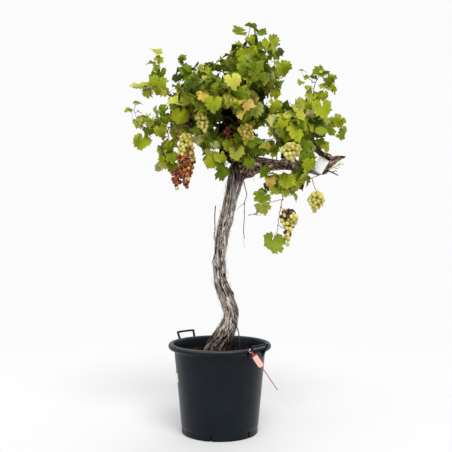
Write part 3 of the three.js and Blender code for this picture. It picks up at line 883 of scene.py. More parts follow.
@dataclass(frozen=True)
class Pot:
    """The nursery pot: a tapering wall, a rolled lip, drain notches and two bails."""

    base_radius: float = 0.185
    step_radius: float = 0.1875
    step_height: float = 0.034
    neck_radius: float = 0.2215
    neck_height: float = 0.396
    lip_reach: float = 0.250
    lip_underside: float = 0.404
    # The height where the painted highlight on the lip's top begins.
    lip_painted_sheen: float = 0.418
    lip_half_width: float = 0.0105
    bead_radius: float = 0.004
    inside_radius: float = 0.2185
    soil_radius: float = 0.2140
    soil_cover: float = 0.03
    notches: int = 6
    notch_bearing: float = -102.0
    notch_width: float = 0.008
    notch_height: float = 0.030
    notch_depth: float = 0.010
    bow: float = 0.0004
    sides: int = 216
    leg_turn: float = 10.8
    foot_reach: float = 0.251
    foot_height: float = 0.402
    foot_radius: float = 0.0070
    knee_radius: float = 0.0060
    bar_radius: float = 0.0052
    lug_radii: tuple[float, float, float] = (0.0062, 0.0082, 0.0058)
    lug_drop: float = 0.012
    lug_inset: float = 0.0035
    handles: tuple[Handle, ...] = (
        Handle("pot_handle_back", 132.0, 0.269, 0.458, 0.42),
        Handle("pot_handle_front", -46.0, 0.274, 0.447, 0.3),
    )

    def make(self) -> None:
        """Build the shell and both bails."""
        black = MouldedPlastic("pot_plastic", painted_sheen_above=self.lip_painted_sheen).material()
        self.shell().build("pot_body", [black], "pot", ["pot_shell"], crease=50)
        for handle in self.handles:
            bar = MouldedPlastic(f"{handle.node}_plastic", roughness=handle.sheen, dusty=0.15)
            self.bail(handle).build(f"{handle.node}_bar", [bar.material()], "pot", [handle.node])

    def profile(self) -> Array:
        """Draw the wall's section, from the underside's middle over the lip to the inside.

        The lip is a half ellipse from its underside to its top, with a small bead
        along the inner edge. The base's edge and the step have small chamfers.
        """
        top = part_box("pot_shell")[1].z
        wall = np.linspace(0, 1, 26)[:, None]
        low = np.array([self.step_radius, self.step_height])
        high = np.array([self.neck_radius, self.neck_height])
        rise = low + (high - low) * wall
        turn = np.radians(np.linspace(-80, 92, 13))
        middle = (top + self.lip_underside) / 2
        centre = self.lip_reach - self.lip_half_width
        lip = np.stack([centre + self.lip_half_width * np.cos(turn),
                        middle + (top - middle) * np.sin(turn)], -1)
        bead_turn = np.radians(np.linspace(70, 190, 6))
        bead = np.array([self.inside_radius + self.lip_half_width, top - 0.005])
        bead = bead + self.bead_radius * np.stack([np.cos(bead_turn), np.sin(bead_turn)], -1)
        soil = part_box("soil_fill")[1].z - self.soil_cover
        return np.concatenate([
            [[0.02, 0.0], [self.base_radius - 0.004, 0.0], [self.base_radius - 0.001, 0.0008],
             [self.base_radius, 0.003], [self.base_radius, 0.016],
             [self.base_radius, self.notch_height], [self.base_radius + 0.0006, self.step_height - 0.002]],
            rise,
            [[self.neck_radius + 0.002, self.neck_height + 0.005],
             [self.neck_radius + 0.005, self.lip_underside - 0.0005],
             [centre - 0.004, self.lip_underside - 0.0008]],
            lip,
            [[self.inside_radius + 0.018, top - 0.0016], [self.inside_radius + 0.015, top - 0.0022]],
            bead,
            [[self.inside_radius + 0.004, top - 0.012], [self.inside_radius, self.neck_height],
             [self.soil_radius, soil], [0.02, soil]],
        ])

    def shell(self) -> Shape:
        """Turn the profile about the Z axis, and push each notch inwards.

        The columns crowd at the notches' edges, so that each notch is a clean slot
        from the underside to its height, and the wall bows in and out by a fraction
        of a millimetre as moulded plastic does.
        """
        profile = self.profile()
        half = self.notch_width / 2 / self.base_radius
        marks = np.radians(self.notch_bearing + 360 / self.notches * np.arange(self.notches))
        edges = (marks[:, None] + half * np.array([-1.12, -1.0, 0.0, 1.0, 1.12])).ravel() % (2 * np.pi)
        even = bearings_round(self.sides)
        gap = np.abs((even[:, None] - marks + np.pi) % (2 * np.pi) - np.pi).min(1)
        bearing = np.sort(np.concatenate([even[gap > half * 1.6], edges]))
        radius, height = profile[:, :1], profile[:, 1:]
        off = np.abs((bearing[:, None] - marks + np.pi) % (2 * np.pi) - np.pi).min(1)
        base = (height <= self.notch_height) & (radius > self.base_radius - 0.006)
        notch = (off < half * 1.05)[None] & base
        wave = self.bow * np.sin(3 * bearing + 9 * height) * ease(height, 0.03, 0.1)
        wave = wave * (height < self.neck_height)
        reach = np.maximum(radius + wave - np.where(notch, self.notch_depth, 0.0), profile[0, 0])
        return skins(lathed(reach, bearing, height)[None])

    def bail(self, handle: Handle) -> Shape:
        """Carry a round bar up one leg, over its knee, along the top and down again.

        The legs thicken towards their feet, where each sits on a flat lug under the lip.

        Args:
            handle: Where the bail stands, and how far its bar stands out.

        Returns:
            The bar and its two lugs.
        """
        middle_reach = (self.foot_reach + handle.bar_reach) / 2
        middle_height = (self.foot_height + handle.bar_height) / 2
        halves = []
        for side in (-1, 1):
            leg = handle.bearing + side * self.leg_turn
            halves.append(np.array([
                polar(self.foot_reach, leg, self.foot_height),
                polar(middle_reach, leg, middle_height),
                polar(handle.bar_reach - 0.001, leg, handle.bar_height - 0.007),
                polar(handle.bar_reach, leg - 1.5 * side, handle.bar_height)]))
        corners = np.concatenate([halves[0], halves[1][::-1]])
        sizes = np.array([self.foot_radius, self.knee_radius, self.bar_radius, self.bar_radius])
        path = flowing(corners, 71)
        radii = np.interp(np.linspace(0, 7, 71), np.arange(8), np.concatenate([sizes, sizes[::-1]]))
        bar = tubes(path, radii, 16)
        lugs = []
        for foot, knee in ((path[0], path[8]), (path[-1], path[-9])):
            out = unit(foot * (1, 1, 0))
            top = foot + (knee - foot) * 0.35
            strip = np.stack([foot - (0, 0, self.lug_drop), foot, top]) - out * self.lug_inset
            lugs.append(tubes(strip, np.array(self.lug_radii), 12, flat=0.75))
        return Shape.joined([bar, *lugs])


@dataclass(frozen=True)
class Mulch:
    """The soil in the pot: an uneven bed and loose chips of bark on it."""

    chips: int = 1900
    seed: int = 11
    reach: float = 0.2145
    skirt: float = 0.02
    lumps: tuple[tuple[float, float], ...] = ((22, 0.007), (75, 0.004), (190, 0.002))
    chip_lengths: tuple[float, float] = (0.005, 0.026)

    def make(self) -> None:
        """Build the bed and the chips."""
        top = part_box("soil_fill")[1].z
        # These colours are darker than the mulch's own brown: partly its colour, partly painted shade from
        # the pot's lip.
        soil = MulchGrain("soil_crumb", paint(4, 3, 2), paint(15, 9, 6)).material()
        self.bed(top).build("soil_bed", [soil], "soil", ["soil_fill"])
        shades = (("dark", paint(6, 4, 3), paint(18, 11, 8), 0.58),
                  ("red", paint(21, 11, 7), paint(45, 24, 15), 0.34),
                  ("tan", paint(50, 28, 16), paint(98, 62, 36), 0.08))
        for number, (label, dark, light, share) in enumerate(shades):
            chip = MulchGrain(f"mulch_{label}", dark, light).material()
            self.scatter(top, int(self.chips * share), self.seed + number).build(
                f"mulch_chips_{label}", [chip], "soil", crease=30)

    def bed(self, top: float) -> Shape:
        """Make a disc whose height is the sum of coarse and fine noise, closed below.

        Each of the lumps is so many hills to the metre, and their height.
        """
        spot = lathed(np.linspace(0.012, self.reach, 70)[:, None], bearings_round(200), 0.0)
        noise = Noise(self.seed)
        rise = sum(noise.at(spot * hills) * height for hills, height in self.lumps)
        upper = (spot + (top - 0.004 + rise)[..., None] * (0, 0, 1))[::-1]
        under = upper[:1] - (0, 0, self.skirt)
        return skins(np.concatenate([under, upper])[None])

    def scatter(self, top: float, count: int, seed: int) -> Shape:
        """Lay many split chips on the bed.

        A chip is a short flat bar of four rings, each of its own width and a little
        out of line, so it has broken ends and no two are alike.

        Args:
            top: The bed's height.
            count: How many chips there are.
            seed: The seed of their random draws.

        Returns:
            All the chips.
        """
        rng = np.random.default_rng(seed)
        reach = self.reach * np.sqrt(rng.uniform(0.01, 0.97, count))
        turn = rng.uniform(0, 2 * np.pi, count)
        length = rng.gamma(3.0, 0.0032, count).clip(*self.chip_lengths)
        heading = rng.uniform(0, 2 * np.pi, count)
        slope = rng.normal(0, 0.28, count)
        level = np.cos(slope)
        along = np.stack([np.cos(heading) * level, np.sin(heading) * level, np.sin(slope)], -1)
        near = np.minimum(reach, self.reach - length / 2)
        spot = np.stack([near * np.cos(turn), near * np.sin(turn),
                         top + rng.uniform(-0.003, 0.006, count)], -1)
        steps = np.linspace(-0.5, 0.5, 4)
        paths = spot[:, None] + along[:, None] * (length[:, None] * steps)[..., None]
        paths = paths + rng.normal(0, 0.0008, paths.shape)
        width = (length * rng.uniform(0.16, 0.34, count))[:, None] * rng.uniform(0.5, 1.1, (count, 4))
        return tubes(paths, width, 5, flat=0.42)


# ------------------------------------------------------------------ the old wood
@dataclass(frozen=True)
class BarkRelief:
    """The bark's relief: twisting strands, lifted strips, fissures, lumps and knobs.

    The twist is in radians to the metre, and shortness squeezes everything along the
    limb.
    """

    seed: int
    depth: float = 0.75
    twist: float = 2.2
    strips: int = 14
    strip_length: float = 0.11
    knobs: int = 9
    shortness: float = 1.0

    def on(self, angle: Array, run: Array, girth: float) -> tuple[Array, dict[str, Array]]:
        """Work out the relief on a limb's surface.

        Every part of it is noise on the limb's own cylinder, turned with the run and
        stretched along it. Strands are the noise's size without its sign, so that they
        meet in sharp valleys; strips are cells round the limb, each cut into lengths
        that stand at their own level; fissures open where slow noise is lowest.

        Args:
            angle: The bearing round the limb at each point, in radians.
            run: The length along the limb at each point.
            girth: The limb's mean radius.

        Returns:
            How far each point stands out, and the values relief, tone and grain.
        """
        noise = Noise(self.seed)
        rng = np.random.default_rng(self.seed)
        levels = rng.uniform(size=(self.strips, 64))

        def field_of(around: float, lengthwise: float, bearing: Array, shift: float) -> Array:
            """Sample noise at so many hills to the metre round the limb and along it."""
            ring = np.stack([np.cos(bearing), np.sin(bearing)], -1) * girth * around
            place = run * lengthwise * self.shortness + shift
            return noise.at(np.concatenate([ring, place[..., None]], -1))

        sway = field_of(14, 7, angle, 0.0)
        spun = angle + self.twist * run + 0.55 * sway + 0.2 * field_of(45, 16, angle, 7.7)
        swell = field_of(16, 6, spun, 3.1)
        lumps = field_of(34, 17, spun, 9.4)
        strand = np.abs(field_of(88, 20, spun, 1.7)) ** 0.75
        thread = np.abs(field_of(190, 38, spun, 15.2)) ** 0.8
        fibre = np.abs(field_of(330, 80, spun, 5.2))
        fissure = ease(-field_of(105, 26, spun, 12.6), 0.34, 0.56)
        cell = spun * self.strips / (2 * np.pi) + 0.9 * field_of(44, 9, spun, 21.3)
        strip = np.floor(cell)
        inside = cell - strip
        number = strip.astype(int) % self.strips
        cut = run / self.strip_length + levels[number, 0] * 6 + 0.3 * field_of(130, 14, spun, 30.1)
        length = np.floor(cut)
        level = levels[number, length.astype(int) % 64]
        seam = 1 - ease(np.minimum(inside, 1 - inside), 0.0, 0.17)
        ledge = 1 - ease(np.minimum(cut - length, 1 - cut + length), 0.0, 0.05)
        # How high each part stands, in metres.
        stand = (0.0034 * swell + 0.0026 * lumps + 0.0046 * (strand - 0.4) + 0.0028 * (thread - 0.35)
                 + 0.0030 * (level - 0.5) + 0.0016 * (inside - 0.5) - 0.0022 * seam * level
                 - 0.0012 * ledge - 0.0056 * fissure + 0.0012 * fibre) * self.depth
        total = run.max()
        for _ in range(self.knobs):
            bearing, spot = rng.uniform(0, 2 * np.pi), rng.uniform(0.08, 0.95) * total
            size, out = rng.uniform(0.010, 0.022), rng.uniform(0.003, 0.0075) * self.depth
            off = girth * ((angle - bearing + np.pi) % (2 * np.pi) - np.pi)
            stand = stand + out * np.exp(-(off**2 + (0.7 * (run - spot)) ** 2) / size**2)
        # How light each part leaves the bark, where 0 is black and 1 is palest. Seams, ledges
        # and fissures are dark and strands pale: partly the bark's own colour, partly painted
        # shade in the hollows and painted highlight on the ridges.
        relief = (0.66 + 0.60 * (strand - 0.4) + 0.62 * (thread - 0.35) - 0.34 * seam - 0.85 * fissure
                  + 0.22 * (level - 0.5) + 0.18 * lumps - 0.12 * ledge + 0.2 * (fibre - 0.3))
        grain = np.stack([np.cos(spun) * girth, np.sin(spun) * girth, run], -1)
        return stand, {"relief": relief.clip(0, 1), "tone": level, "grain": grain}


@dataclass(frozen=True)
class Limb:
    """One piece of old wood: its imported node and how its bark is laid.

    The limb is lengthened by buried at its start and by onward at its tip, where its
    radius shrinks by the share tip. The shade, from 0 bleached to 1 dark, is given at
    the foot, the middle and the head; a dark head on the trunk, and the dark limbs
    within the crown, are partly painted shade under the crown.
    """

    node: str
    axis: int
    bark: BarkRelief
    around: int
    along: int
    backwards: bool = False
    trim: tuple[float, float] = (0.08, 0.02)
    buried: float = 0.03
    onward: float = 0.006
    tip: float = 0.35
    flare: float = 0.25
    shade: tuple[float, float, float] = (0.8, 0.8, 0.9)
    girth: float = 1.0
    flare_length: float = 0.035
    calm_length: float = 0.02
    full_radius: float = 0.012

    def spine(self) -> Spine:
        """Read the limb's centre line, from where it is carried to its tip."""
        spine = Spine.of_node(self.node, self.axis, self.trim)
        spine = spine.reversed() if self.backwards else spine
        return spine.reaching(self.buried, self.onward, self.tip).even(self.along)

    def surface(self) -> Shape:
        """Lay the bark's relief on rings carried along the spine.

        A ring's point is the centre plus the radius, widened by a flare that dies
        away from the start, plus the relief. The relief is weaker near both ends, and
        where the limb is thinner than full_radius.
        """
        spine = self.spine()
        run = spine.run()
        _, across, over = frames(spine.points[None])
        angle = bearings_round(self.around)
        widened = spine.radii * self.girth * (1 + self.flare * np.exp(-((run / self.flare_length) ** 2)))
        grid_angle, grid_run = np.meshgrid(angle, run)
        stand, values = self.bark.on(grid_angle, grid_run, float(spine.radii.mean()))
        ends = ease(run, 0.0, self.calm_length) * ease(run[-1] - run, 0.0, self.calm_length)
        thin = np.minimum(1.0, spine.radii / self.full_radius)
        reach = widened[:, None] + stand * (0.3 + 0.7 * ends * thin)[:, None]
        ring = across[0][:, None] * np.cos(angle)[:, None] + over[0][:, None] * np.sin(angle)[:, None]
        grid = spine.points[:, None] + reach[..., None] * ring
        values["shade"] = np.repeat(self.shade_at(run / run[-1])[:, None], self.around, 1)
        return skins(grid[None], {k: v[None] for k, v in values.items()})

    def shade_at(self, share: Array) -> Array:
        """Blend the shades of the foot, the middle and the head by the share of the length."""
        foot, middle, head = self.shade
        return foot + (middle - foot) * ease(share, 0.02, 0.22) + (head - middle) * ease(share, 0.76, 1.0)


# The trunk's dark head, and the dark limbs within the crown, are partly the bark's own colour and partly
# painted shade under the crown.
TRUNK = Limb("trunk", 2, BarkRelief(5, 1.05, knobs=14), around=208, along=470, trim=(0.004, 0.012),
             buried=0.012, onward=0.012, tip=0.5, flare=0.0, shade=(1.0, 0.08, 1.0))
ARMS = (
    Limb("arm_right", 0, BarkRelief(21, 1.0, knobs=30, shortness=1.9), around=150, along=260,
         trim=(0.09, 0.01), buried=0.045, onward=0.012, tip=0.9, shade=(0.9, 0.16, 0.7), girth=1.2,
         flare=0.55, flare_length=0.11),
    Limb("arm_right_end", 0, BarkRelief(22, 0.8), around=72, along=120, trim=(0.04, 0.03), buried=0.02,
         tip=0.15, shade=(0.5, 0.5, 0.6), flare=0.2, girth=1.1),
    Limb("spur_right", 0, BarkRelief(23), around=60, along=90, backwards=True, trim=(0.03, 0.12),
         buried=0.015, tip=0.6, shade=(0.6, 0.6, 0.8), girth=1.1),
    Limb("arm_left", 0, BarkRelief(24), around=110, along=230, backwards=True, trim=(0.02, 0.12),
         buried=0.05, tip=0.8, shade=(0.95, 0.9, 1.0)),
    Limb("limb_middle", 2, BarkRelief(25), around=90, along=150, trim=(0.1, 0.02), buried=0.035, tip=0.7,
         shade=(0.95, 0.95, 1.0)),
    Limb("limb_back", 2, BarkRelief(26), around=84, along=150, trim=(0.1, 0.02), buried=0.035, tip=0.7,
         shade=(0.95, 0.95, 1.0)),
)


@dataclass(frozen=True)
class Shreds:
    """Strips of bark that have come loose at one end."""

    limb: Limb
    count: int
    seed: int
    lengths: tuple[float, float] = (0.022, 0.10)
    lift: float = 0.0045
    span: tuple[float, float] = (0.02, 0.96)
    widths: tuple[float, float] = (0.0011, 0.0034)
    off_bark: float = 0.0012
    most_lift: float = 0.022

    def shape(self) -> Shape:
        """Lay the strips along the strands.

        A strip's line keeps to the limb's surface at its fixed end and leaves it as
        the square of the way to its free end, where it also narrows.
        """
        rng = np.random.default_rng(self.seed)
        spine = self.limb.spine()
        run = spine.run()
        _, across, over = frames(spine.points[None])
        t = np.linspace(0, 1, 10)
        length = rng.uniform(*self.lengths, self.count) * rng.choice([1.0, 1.5], self.count, p=[0.8, 0.2])
        start = rng.uniform(*self.span, self.count) * (run[-1] - length)
        away = np.where(rng.random(self.count)[:, None] < 0.5, t, 1 - t)
        along = start[:, None] + length[:, None] * t
        bearing = rng.uniform(0, 2 * np.pi, self.count)[:, None] - BarkRelief.twist * length[:, None] * t
        bearing = bearing + rng.normal(0, 0.12, (self.count, 1)) * t**2
        free = rng.gamma(1.6, self.lift, self.count).clip(0.001, self.most_lift)[:, None] * away**2.2

        def carried(rows: Array) -> Array:
            """Read rows of the spine at each strip's points."""
            return np.stack([np.interp(along, run, c) for c in rows.T], -1)

        ring = (carried(across[0]) * np.cos(bearing)[..., None]
                + carried(over[0]) * np.sin(bearing)[..., None])
        reach = np.interp(along, run, spine.radii) * self.limb.girth + self.off_bark + free
        paths = carried(spine.points) + reach[..., None] * ring
        width = rng.uniform(*self.widths, self.count)[:, None] * (1 - 0.75 * away**3)
        width = width * (0.55 + 0.45 * np.sin(np.pi * t.clip(0.1, 0.9)))
        tangent = unit(np.gradient(paths, axis=1))
        side = unit(np.cross(tangent, ring))
        corner = np.array([[1.0, 0.0], [0.0, 0.3], [-1.0, 0.0], [0.0, -0.3]])
        outline = side[:, :, None] * corner[:, :1] + ring[:, :, None] * corner[:, 1:] * -1
        grids = paths[:, :, None] + width[..., None, None] * outline
        tone = np.broadcast_to(rng.uniform(0.2, 1.0, self.count)[:, None, None], grids.shape[:3])
        bright = np.broadcast_to(rng.uniform(0.35, 0.85, self.count)[:, None, None], grids.shape[:3])
        shade = self.limb.shade_at(along / run[-1])
        spread = np.repeat(shade[:, :, None], 4, 2) * rng.uniform(0.7, 1.1, (self.count, 1, 1))
        return skins(grids, {"relief": bright, "tone": tone, "shade": spread, "grain": grids * (4, 4, 1)})


@dataclass(frozen=True)
class Strand:
    """A dead twig or a hanging thread of bark, through given points."""

    points: tuple[Point, ...]
    radius: float
    tip: float = 0.4

    def tube(self, old: bool = True) -> Shape:
        """Carry a round section, which narrows to the tip, along the strand.

        Args:
            old: Whether it carries the values that old bark reads.

        Returns:
            The strand as a closed tube.
        """
        count = 5 * len(self.points)
        path = flowing(np.array(self.points), count)
        thin = self.radius * np.linspace(1, self.tip, count) * (1 + 0.14 * np.sin(np.arange(count) * 1.9))
        flat = np.ones((1, count))
        values = {"relief": flat * 0.45, "tone": flat * 0.5, "shade": flat * 0.9, "grain": path[None]}
        return tubes(path, thin, 7, values if old else None)


STRANDS = (
    Strand(((-0.020, -0.024, 1.098), (-0.022, -0.030, 1.080), (-0.024, -0.034, 1.045),
            (-0.023, -0.034, 0.985), (-0.026, -0.030, 0.955), (-0.016, -0.024, 0.938)), 0.0026, 0.8),
    Strand(((-0.012, -0.028, 0.922), (-0.024, -0.032, 0.934), (-0.034, -0.034, 0.952)), 0.0022),
    Strand(((0.118, -0.028, 1.214), (0.122, -0.032, 1.190), (0.131, -0.034, 1.150), (0.120, -0.036, 1.112),
            (0.119, -0.038, 1.044), (0.115, -0.038, 0.980), (0.119, -0.038, 0.940)), 0.0021, 0.8),
    Strand(((0.119, -0.038, 0.942), (0.116, -0.038, 0.932), (0.119, -0.038, 0.890)), 0.0009, 0.5),
    Strand(((0.120, -0.036, 1.112), (0.100, -0.034, 1.096), (0.080, -0.034, 1.076)), 0.0015),
    Strand(((0.160, -0.034, 1.262), (0.165, -0.038, 1.242), (0.163, -0.040, 1.216)), 0.0014),
    Strand(((0.060, -0.036, 0.560), (0.086, -0.046, 0.505), (0.094, -0.048, 0.462), (0.096, -0.048, 0.412)),
           0.0030, 0.7),
    Strand(((0.008, 0.034, 0.800), (0.000, 0.044, 0.870), (0.012, 0.050, 0.960), (0.006, 0.052, 1.010)),
           0.0020, 0.5),
    Strand(((0.522, -0.006, 1.270), (0.545, -0.010, 1.262), (0.560, -0.012, 1.254), (0.577, -0.012, 1.246)),
           0.0042, 0.6),
    Strand(((0.548, -0.008, 1.262), (0.562, -0.014, 1.268), (0.572, -0.016, 1.264)), 0.0026, 0.5),
    Strand(((0.566, -0.004, 1.318), (0.584, -0.010, 1.336), (0.600, -0.012, 1.338), (0.612, -0.012, 1.334)),
           0.0046, 0.7),
    Strand(((0.470, -0.010, 1.384), (0.480, -0.016, 1.368), (0.500, -0.018, 1.350), (0.520, -0.012, 1.338)),
           0.0052, 0.8),
)
HAND_CANES = (
    Strand(((0.446, -0.010, 1.352), (0.441, -0.030, 1.366), (0.449, -0.045, 1.421), (0.459, -0.050, 1.517),
            (0.452, -0.040, 1.621), (0.462, -0.030, 1.690), (0.490, -0.020, 1.740)), 0.0036, 0.4),
    Strand(((0.521, -0.010, 1.266), (0.480, -0.020, 1.246), (0.436, -0.030, 1.228)), 0.0028, 0.5),
    Strand(((-0.200, -0.030, 1.600), (-0.251, -0.050, 1.653), (-0.291, -0.020, 1.712),
            (-0.311, -0.008, 1.780), (-0.311, -0.006, 1.850)), 0.0022, 0.4),
    Strand(((-0.240, -0.020, 1.475), (-0.293, -0.040, 1.487), (-0.352, -0.042, 1.473),
            (-0.396, -0.020, 1.492), (-0.406, -0.008, 1.527), (-0.418, -0.006, 1.562)), 0.0021, 0.5),
    Strand(((-0.245, -0.030, 1.480), (-0.251, -0.055, 1.450), (-0.246, -0.060, 1.425),
            (-0.284, -0.060, 1.381), (-0.301, -0.060, 1.359)), 0.0028, 0.6),
    Strand(((-0.020, -0.060, 1.436), (0.010, -0.100, 1.434), (0.050, -0.102, 1.426)), 0.0026, 0.5),
    Strand(((-0.120, -0.090, 1.540), (-0.150, -0.110, 1.505), (-0.180, -0.112, 1.465),
            (-0.205, -0.100, 1.435)), 0.0040, 0.6),
    Strand(((-0.130, 0.000, 1.650), (-0.150, -0.010, 1.720), (-0.160, -0.010, 1.770)), 0.0018),
    Strand(((0.150, 0.000, 1.660), (0.160, -0.020, 1.760), (0.128, -0.022, 1.860), (0.140, -0.016, 1.930),
            (0.152, -0.012, 1.975)), 0.0036, 0.3),
)
PALE_SHOOTS = (
    Strand(((0.528, -0.008, 1.276), (0.552, -0.014, 1.284), (0.580, -0.016, 1.296), (0.606, -0.014, 1.303)),
           0.0030, 0.6),
    Strand(((0.552, -0.014, 1.284), (0.568, -0.020, 1.280), (0.584, -0.020, 1.284)), 0.0022, 0.6),
    Strand(((0.572, -0.015, 1.292), (0.580, -0.020, 1.304), (0.592, -0.020, 1.310)), 0.0020, 0.6),
)


# ------------------------------------------------------------------ leaves
class Tint(Enum):
    """The leaf colours: upper side, underside, ribs and the blotches of ripening."""

    DEEP = ((54, 76, 3), (92, 112, 20), (84, 104, 14), (84, 92, 10))
    GREEN = ((98, 122, 8), (130, 150, 46), (132, 150, 30), (138, 134, 14))
    FRESH = ((144, 160, 18), (168, 182, 84), (180, 190, 66), (184, 166, 34))
    LIME = ((180, 186, 64), (198, 206, 138), (204, 210, 112), (200, 156, 62))
    GOLD = ((198, 192, 74), (208, 202, 116), (224, 212, 126), (200, 128, 66))
    BLUSH = ((208, 196, 96), (218, 206, 132), (230, 208, 140), (184, 82, 46))
    # SHADE is painted shade: near-black leaves set behind the crown's openings.
    SHADE = ((20, 22, 4), (26, 28, 8), (30, 32, 10), (34, 24, 8))


# How much of a leaf has turned, for the tints that differ from LeafSkin's own share.
TURNING = {Tint.GOLD: 0.7, Tint.BLUSH: 0.95}


class Mood(Enum):
    """How likely each tint is, in the order of Tint."""

    LEAFY = (0.16, 0.42, 0.36, 0.06, 0.0, 0.0)
    BRIGHT = (0.04, 0.24, 0.48, 0.24, 0.0, 0.0)
    YOUNG = (0.0, 0.08, 0.44, 0.48, 0.0, 0.0)
    MIXED = (0.18, 0.36, 0.30, 0.13, 0.03, 0.0)
    TURNING = (0.10, 0.28, 0.32, 0.20, 0.07, 0.03)


@dataclass(frozen=True)
class Spray:
    """A mass of foliage: how its leaves are spaced, sized, coloured and held."""

    node: str
    gap: float
    lengths: tuple[float, float]
    mood: Mood
    lift: float = 0.6
    droop: float = 0.9
    front: float = 0.5


SPRAYS = (
    Spray("leaves_plume", 0.066, (0.024, 0.040), Mood.BRIGHT, 1.0, 0.4, 0.4),
    Spray("leaves_upper", 0.036, (0.024, 0.044), Mood.BRIGHT, 0.8, 0.6, 0.6),
    Spray("leaves_upper_front", 0.032, (0.030, 0.048), Mood.LEAFY, 0.8, 0.7, 0.7),
    Spray("leaves_upper_back", 0.034, (0.034, 0.052), Mood.LEAFY, 0.7, 0.6),
    Spray("leaves_crest_left", 0.036, (0.024, 0.040), Mood.LEAFY, 0.9, 0.5, 0.5),
    Spray("leaves_middle", 0.034, (0.036, 0.056), Mood.MIXED),
    Spray("leaves_middle_front", 0.032, (0.034, 0.056), Mood.TURNING, 0.7),
    Spray("leaves_middle_back", 0.036, (0.040, 0.060), Mood.MIXED),
    Spray("leaves_left", 0.033, (0.034, 0.054), Mood.MIXED),
    Spray("leaves_left_front", 0.032, (0.034, 0.052), Mood.MIXED, 0.7),
    Spray("leaves_left_back", 0.036, (0.038, 0.060), Mood.LEAFY),
    Spray("leaves_left_outer", 0.037, (0.030, 0.046), Mood.BRIGHT, 0.8),
    Spray("leaves_left_bud", 0.045, (0.016, 0.022), Mood.YOUNG, 0.6, 0.1),
    Spray("leaves_left_drop", 0.070, (0.024, 0.032), Mood.BRIGHT),
    Spray("leaves_left_shoot", 0.050, (0.016, 0.026), Mood.YOUNG, 1.3, 0.3, 0.1),
    Spray("leaves_left_spray", 0.046, (0.028, 0.042), Mood.YOUNG, 0.9),
    Spray("leaves_left_low", 0.034, (0.026, 0.042), Mood.BRIGHT),
    Spray("leaves_left_under", 0.036, (0.030, 0.042), Mood.LEAFY),
    Spray("leaves_fork_left", 0.036, (0.030, 0.046), Mood.BRIGHT),
    Spray("leaves_fork", 0.036, (0.030, 0.048), Mood.TURNING),
    Spray("leaves_right", 0.035, (0.032, 0.052), Mood.BRIGHT, 0.6, 0.8, 0.7),
    Spray("leaves_right_front", 0.036, (0.032, 0.050), Mood.BRIGHT),
    Spray("leaves_right_back", 0.038, (0.036, 0.056), Mood.LEAFY),
    Spray("leaves_right_low", 0.034, (0.022, 0.034), Mood.BRIGHT),
    Spray("leaves_right_shoot", 0.050, (0.018, 0.030), Mood.YOUNG, 0.9, 0.5, 0.6),
    Spray("leaves_right_outer", 0.038, (0.026, 0.038), Mood.BRIGHT),
    Spray("leaves_arm_front", 0.070, (0.034, 0.044), Mood.BRIGHT),
    Spray("leaves_under_arm", 0.033, (0.026, 0.044), Mood.TURNING, 0.5),
    Spray("leaves_hanging_pair", 0.090, (0.026, 0.034), Mood.BRIGHT),
)
# Where the sky shows between the sprays, and where the crown opens on its dark heart,
# seen from in front: x, z and radius at y = 0.
SKY = (
    (-0.38, 1.75, 0.03), (-0.36, 1.84, 0.02), (-0.24, 1.75, 0.02), (-0.22, 1.72, 0.02), (-0.24, 1.65, 0.02),
    (-0.32, 1.62, 0.02), (-0.36, 1.58, 0.03), (-0.40, 1.70, 0.03), (-0.32, 1.42, 0.03), (-0.34, 1.32, 0.03),
    (-0.26, 1.46, 0.02), (-0.15, 1.45, 0.02), (-0.10, 1.36, 0.02), (-0.10, 1.28, 0.03), (-0.04, 1.27, 0.02),
    (-0.12, 1.80, 0.02), (-0.06, 1.81, 0.02), (-0.02, 1.84, 0.02), (-0.02, 1.71, 0.01), (0.07, 1.65, 0.01),
    (0.04, 1.87, 0.02), (0.06, 1.92, 0.02), (0.05, 2.00, 0.03), (0.14, 1.94, 0.02), (0.20, 1.93, 0.02),
    (0.23, 1.97, 0.02), (0.14, 2.03, 0.03), (0.24, 1.86, 0.01), (0.26, 1.80, 0.02), (0.34, 1.72, 0.03),
    (0.34, 1.66, 0.03), (0.24, 1.61, 0.02), (0.28, 1.53, 0.01), (0.32, 1.55, 0.02), (0.35, 1.62, 0.02),
    (0.18, 1.55, 0.01), (0.18, 1.48, 0.02), (0.20, 1.46, 0.03), (0.22, 1.43, 0.02), (0.27, 1.44, 0.01),
    (0.46, 1.70, 0.02), (0.48, 1.52, 0.01), (0.57, 1.60, 0.03), (0.60, 1.50, 0.02), (0.57, 1.40, 0.03),
    (0.52, 1.43, 0.01), (0.18, 1.22, 0.02),
)
# Leaves behind these openings take the near-black SHADE tint: painted shade.
HOLLOWS = (
    (-0.14, 1.56, 0.02), (-0.13, 1.50, 0.02), (0.02, 1.56, 0.02), (0.06, 1.54, 0.02), (0.05, 1.47, 0.03),
    (0.04, 1.39, 0.02),
)


class Pose(Enum):
    """Which way the upper side of a listed leaf faces."""

    FRONT = (0.08, -0.97, 0.22)
    LEFT = (-0.62, -0.74, 0.25)
    RIGHT = (0.62, -0.74, 0.25)
    SLOPING = (0.05, -0.66, 0.75)
    TILTED = (0.05, -0.45, 0.89)
    LEVEL = (0.05, -0.20, 0.97)
    UNDER = (0.05, 0.66, 0.75)
    BACK = (-0.15, 0.97, -0.18)


@dataclass(frozen=True)
class ShownLeaf:
    """A leaf given in a list.

    Its middle is given in shares of its node's box, its length from stalk to tip in
    millimetres, and its tip by the bearing from +X, seen from the front.
    """

    x: float
    y: float
    z: float
    length: float
    pose: Pose
    bearing: float
    tint: Tint


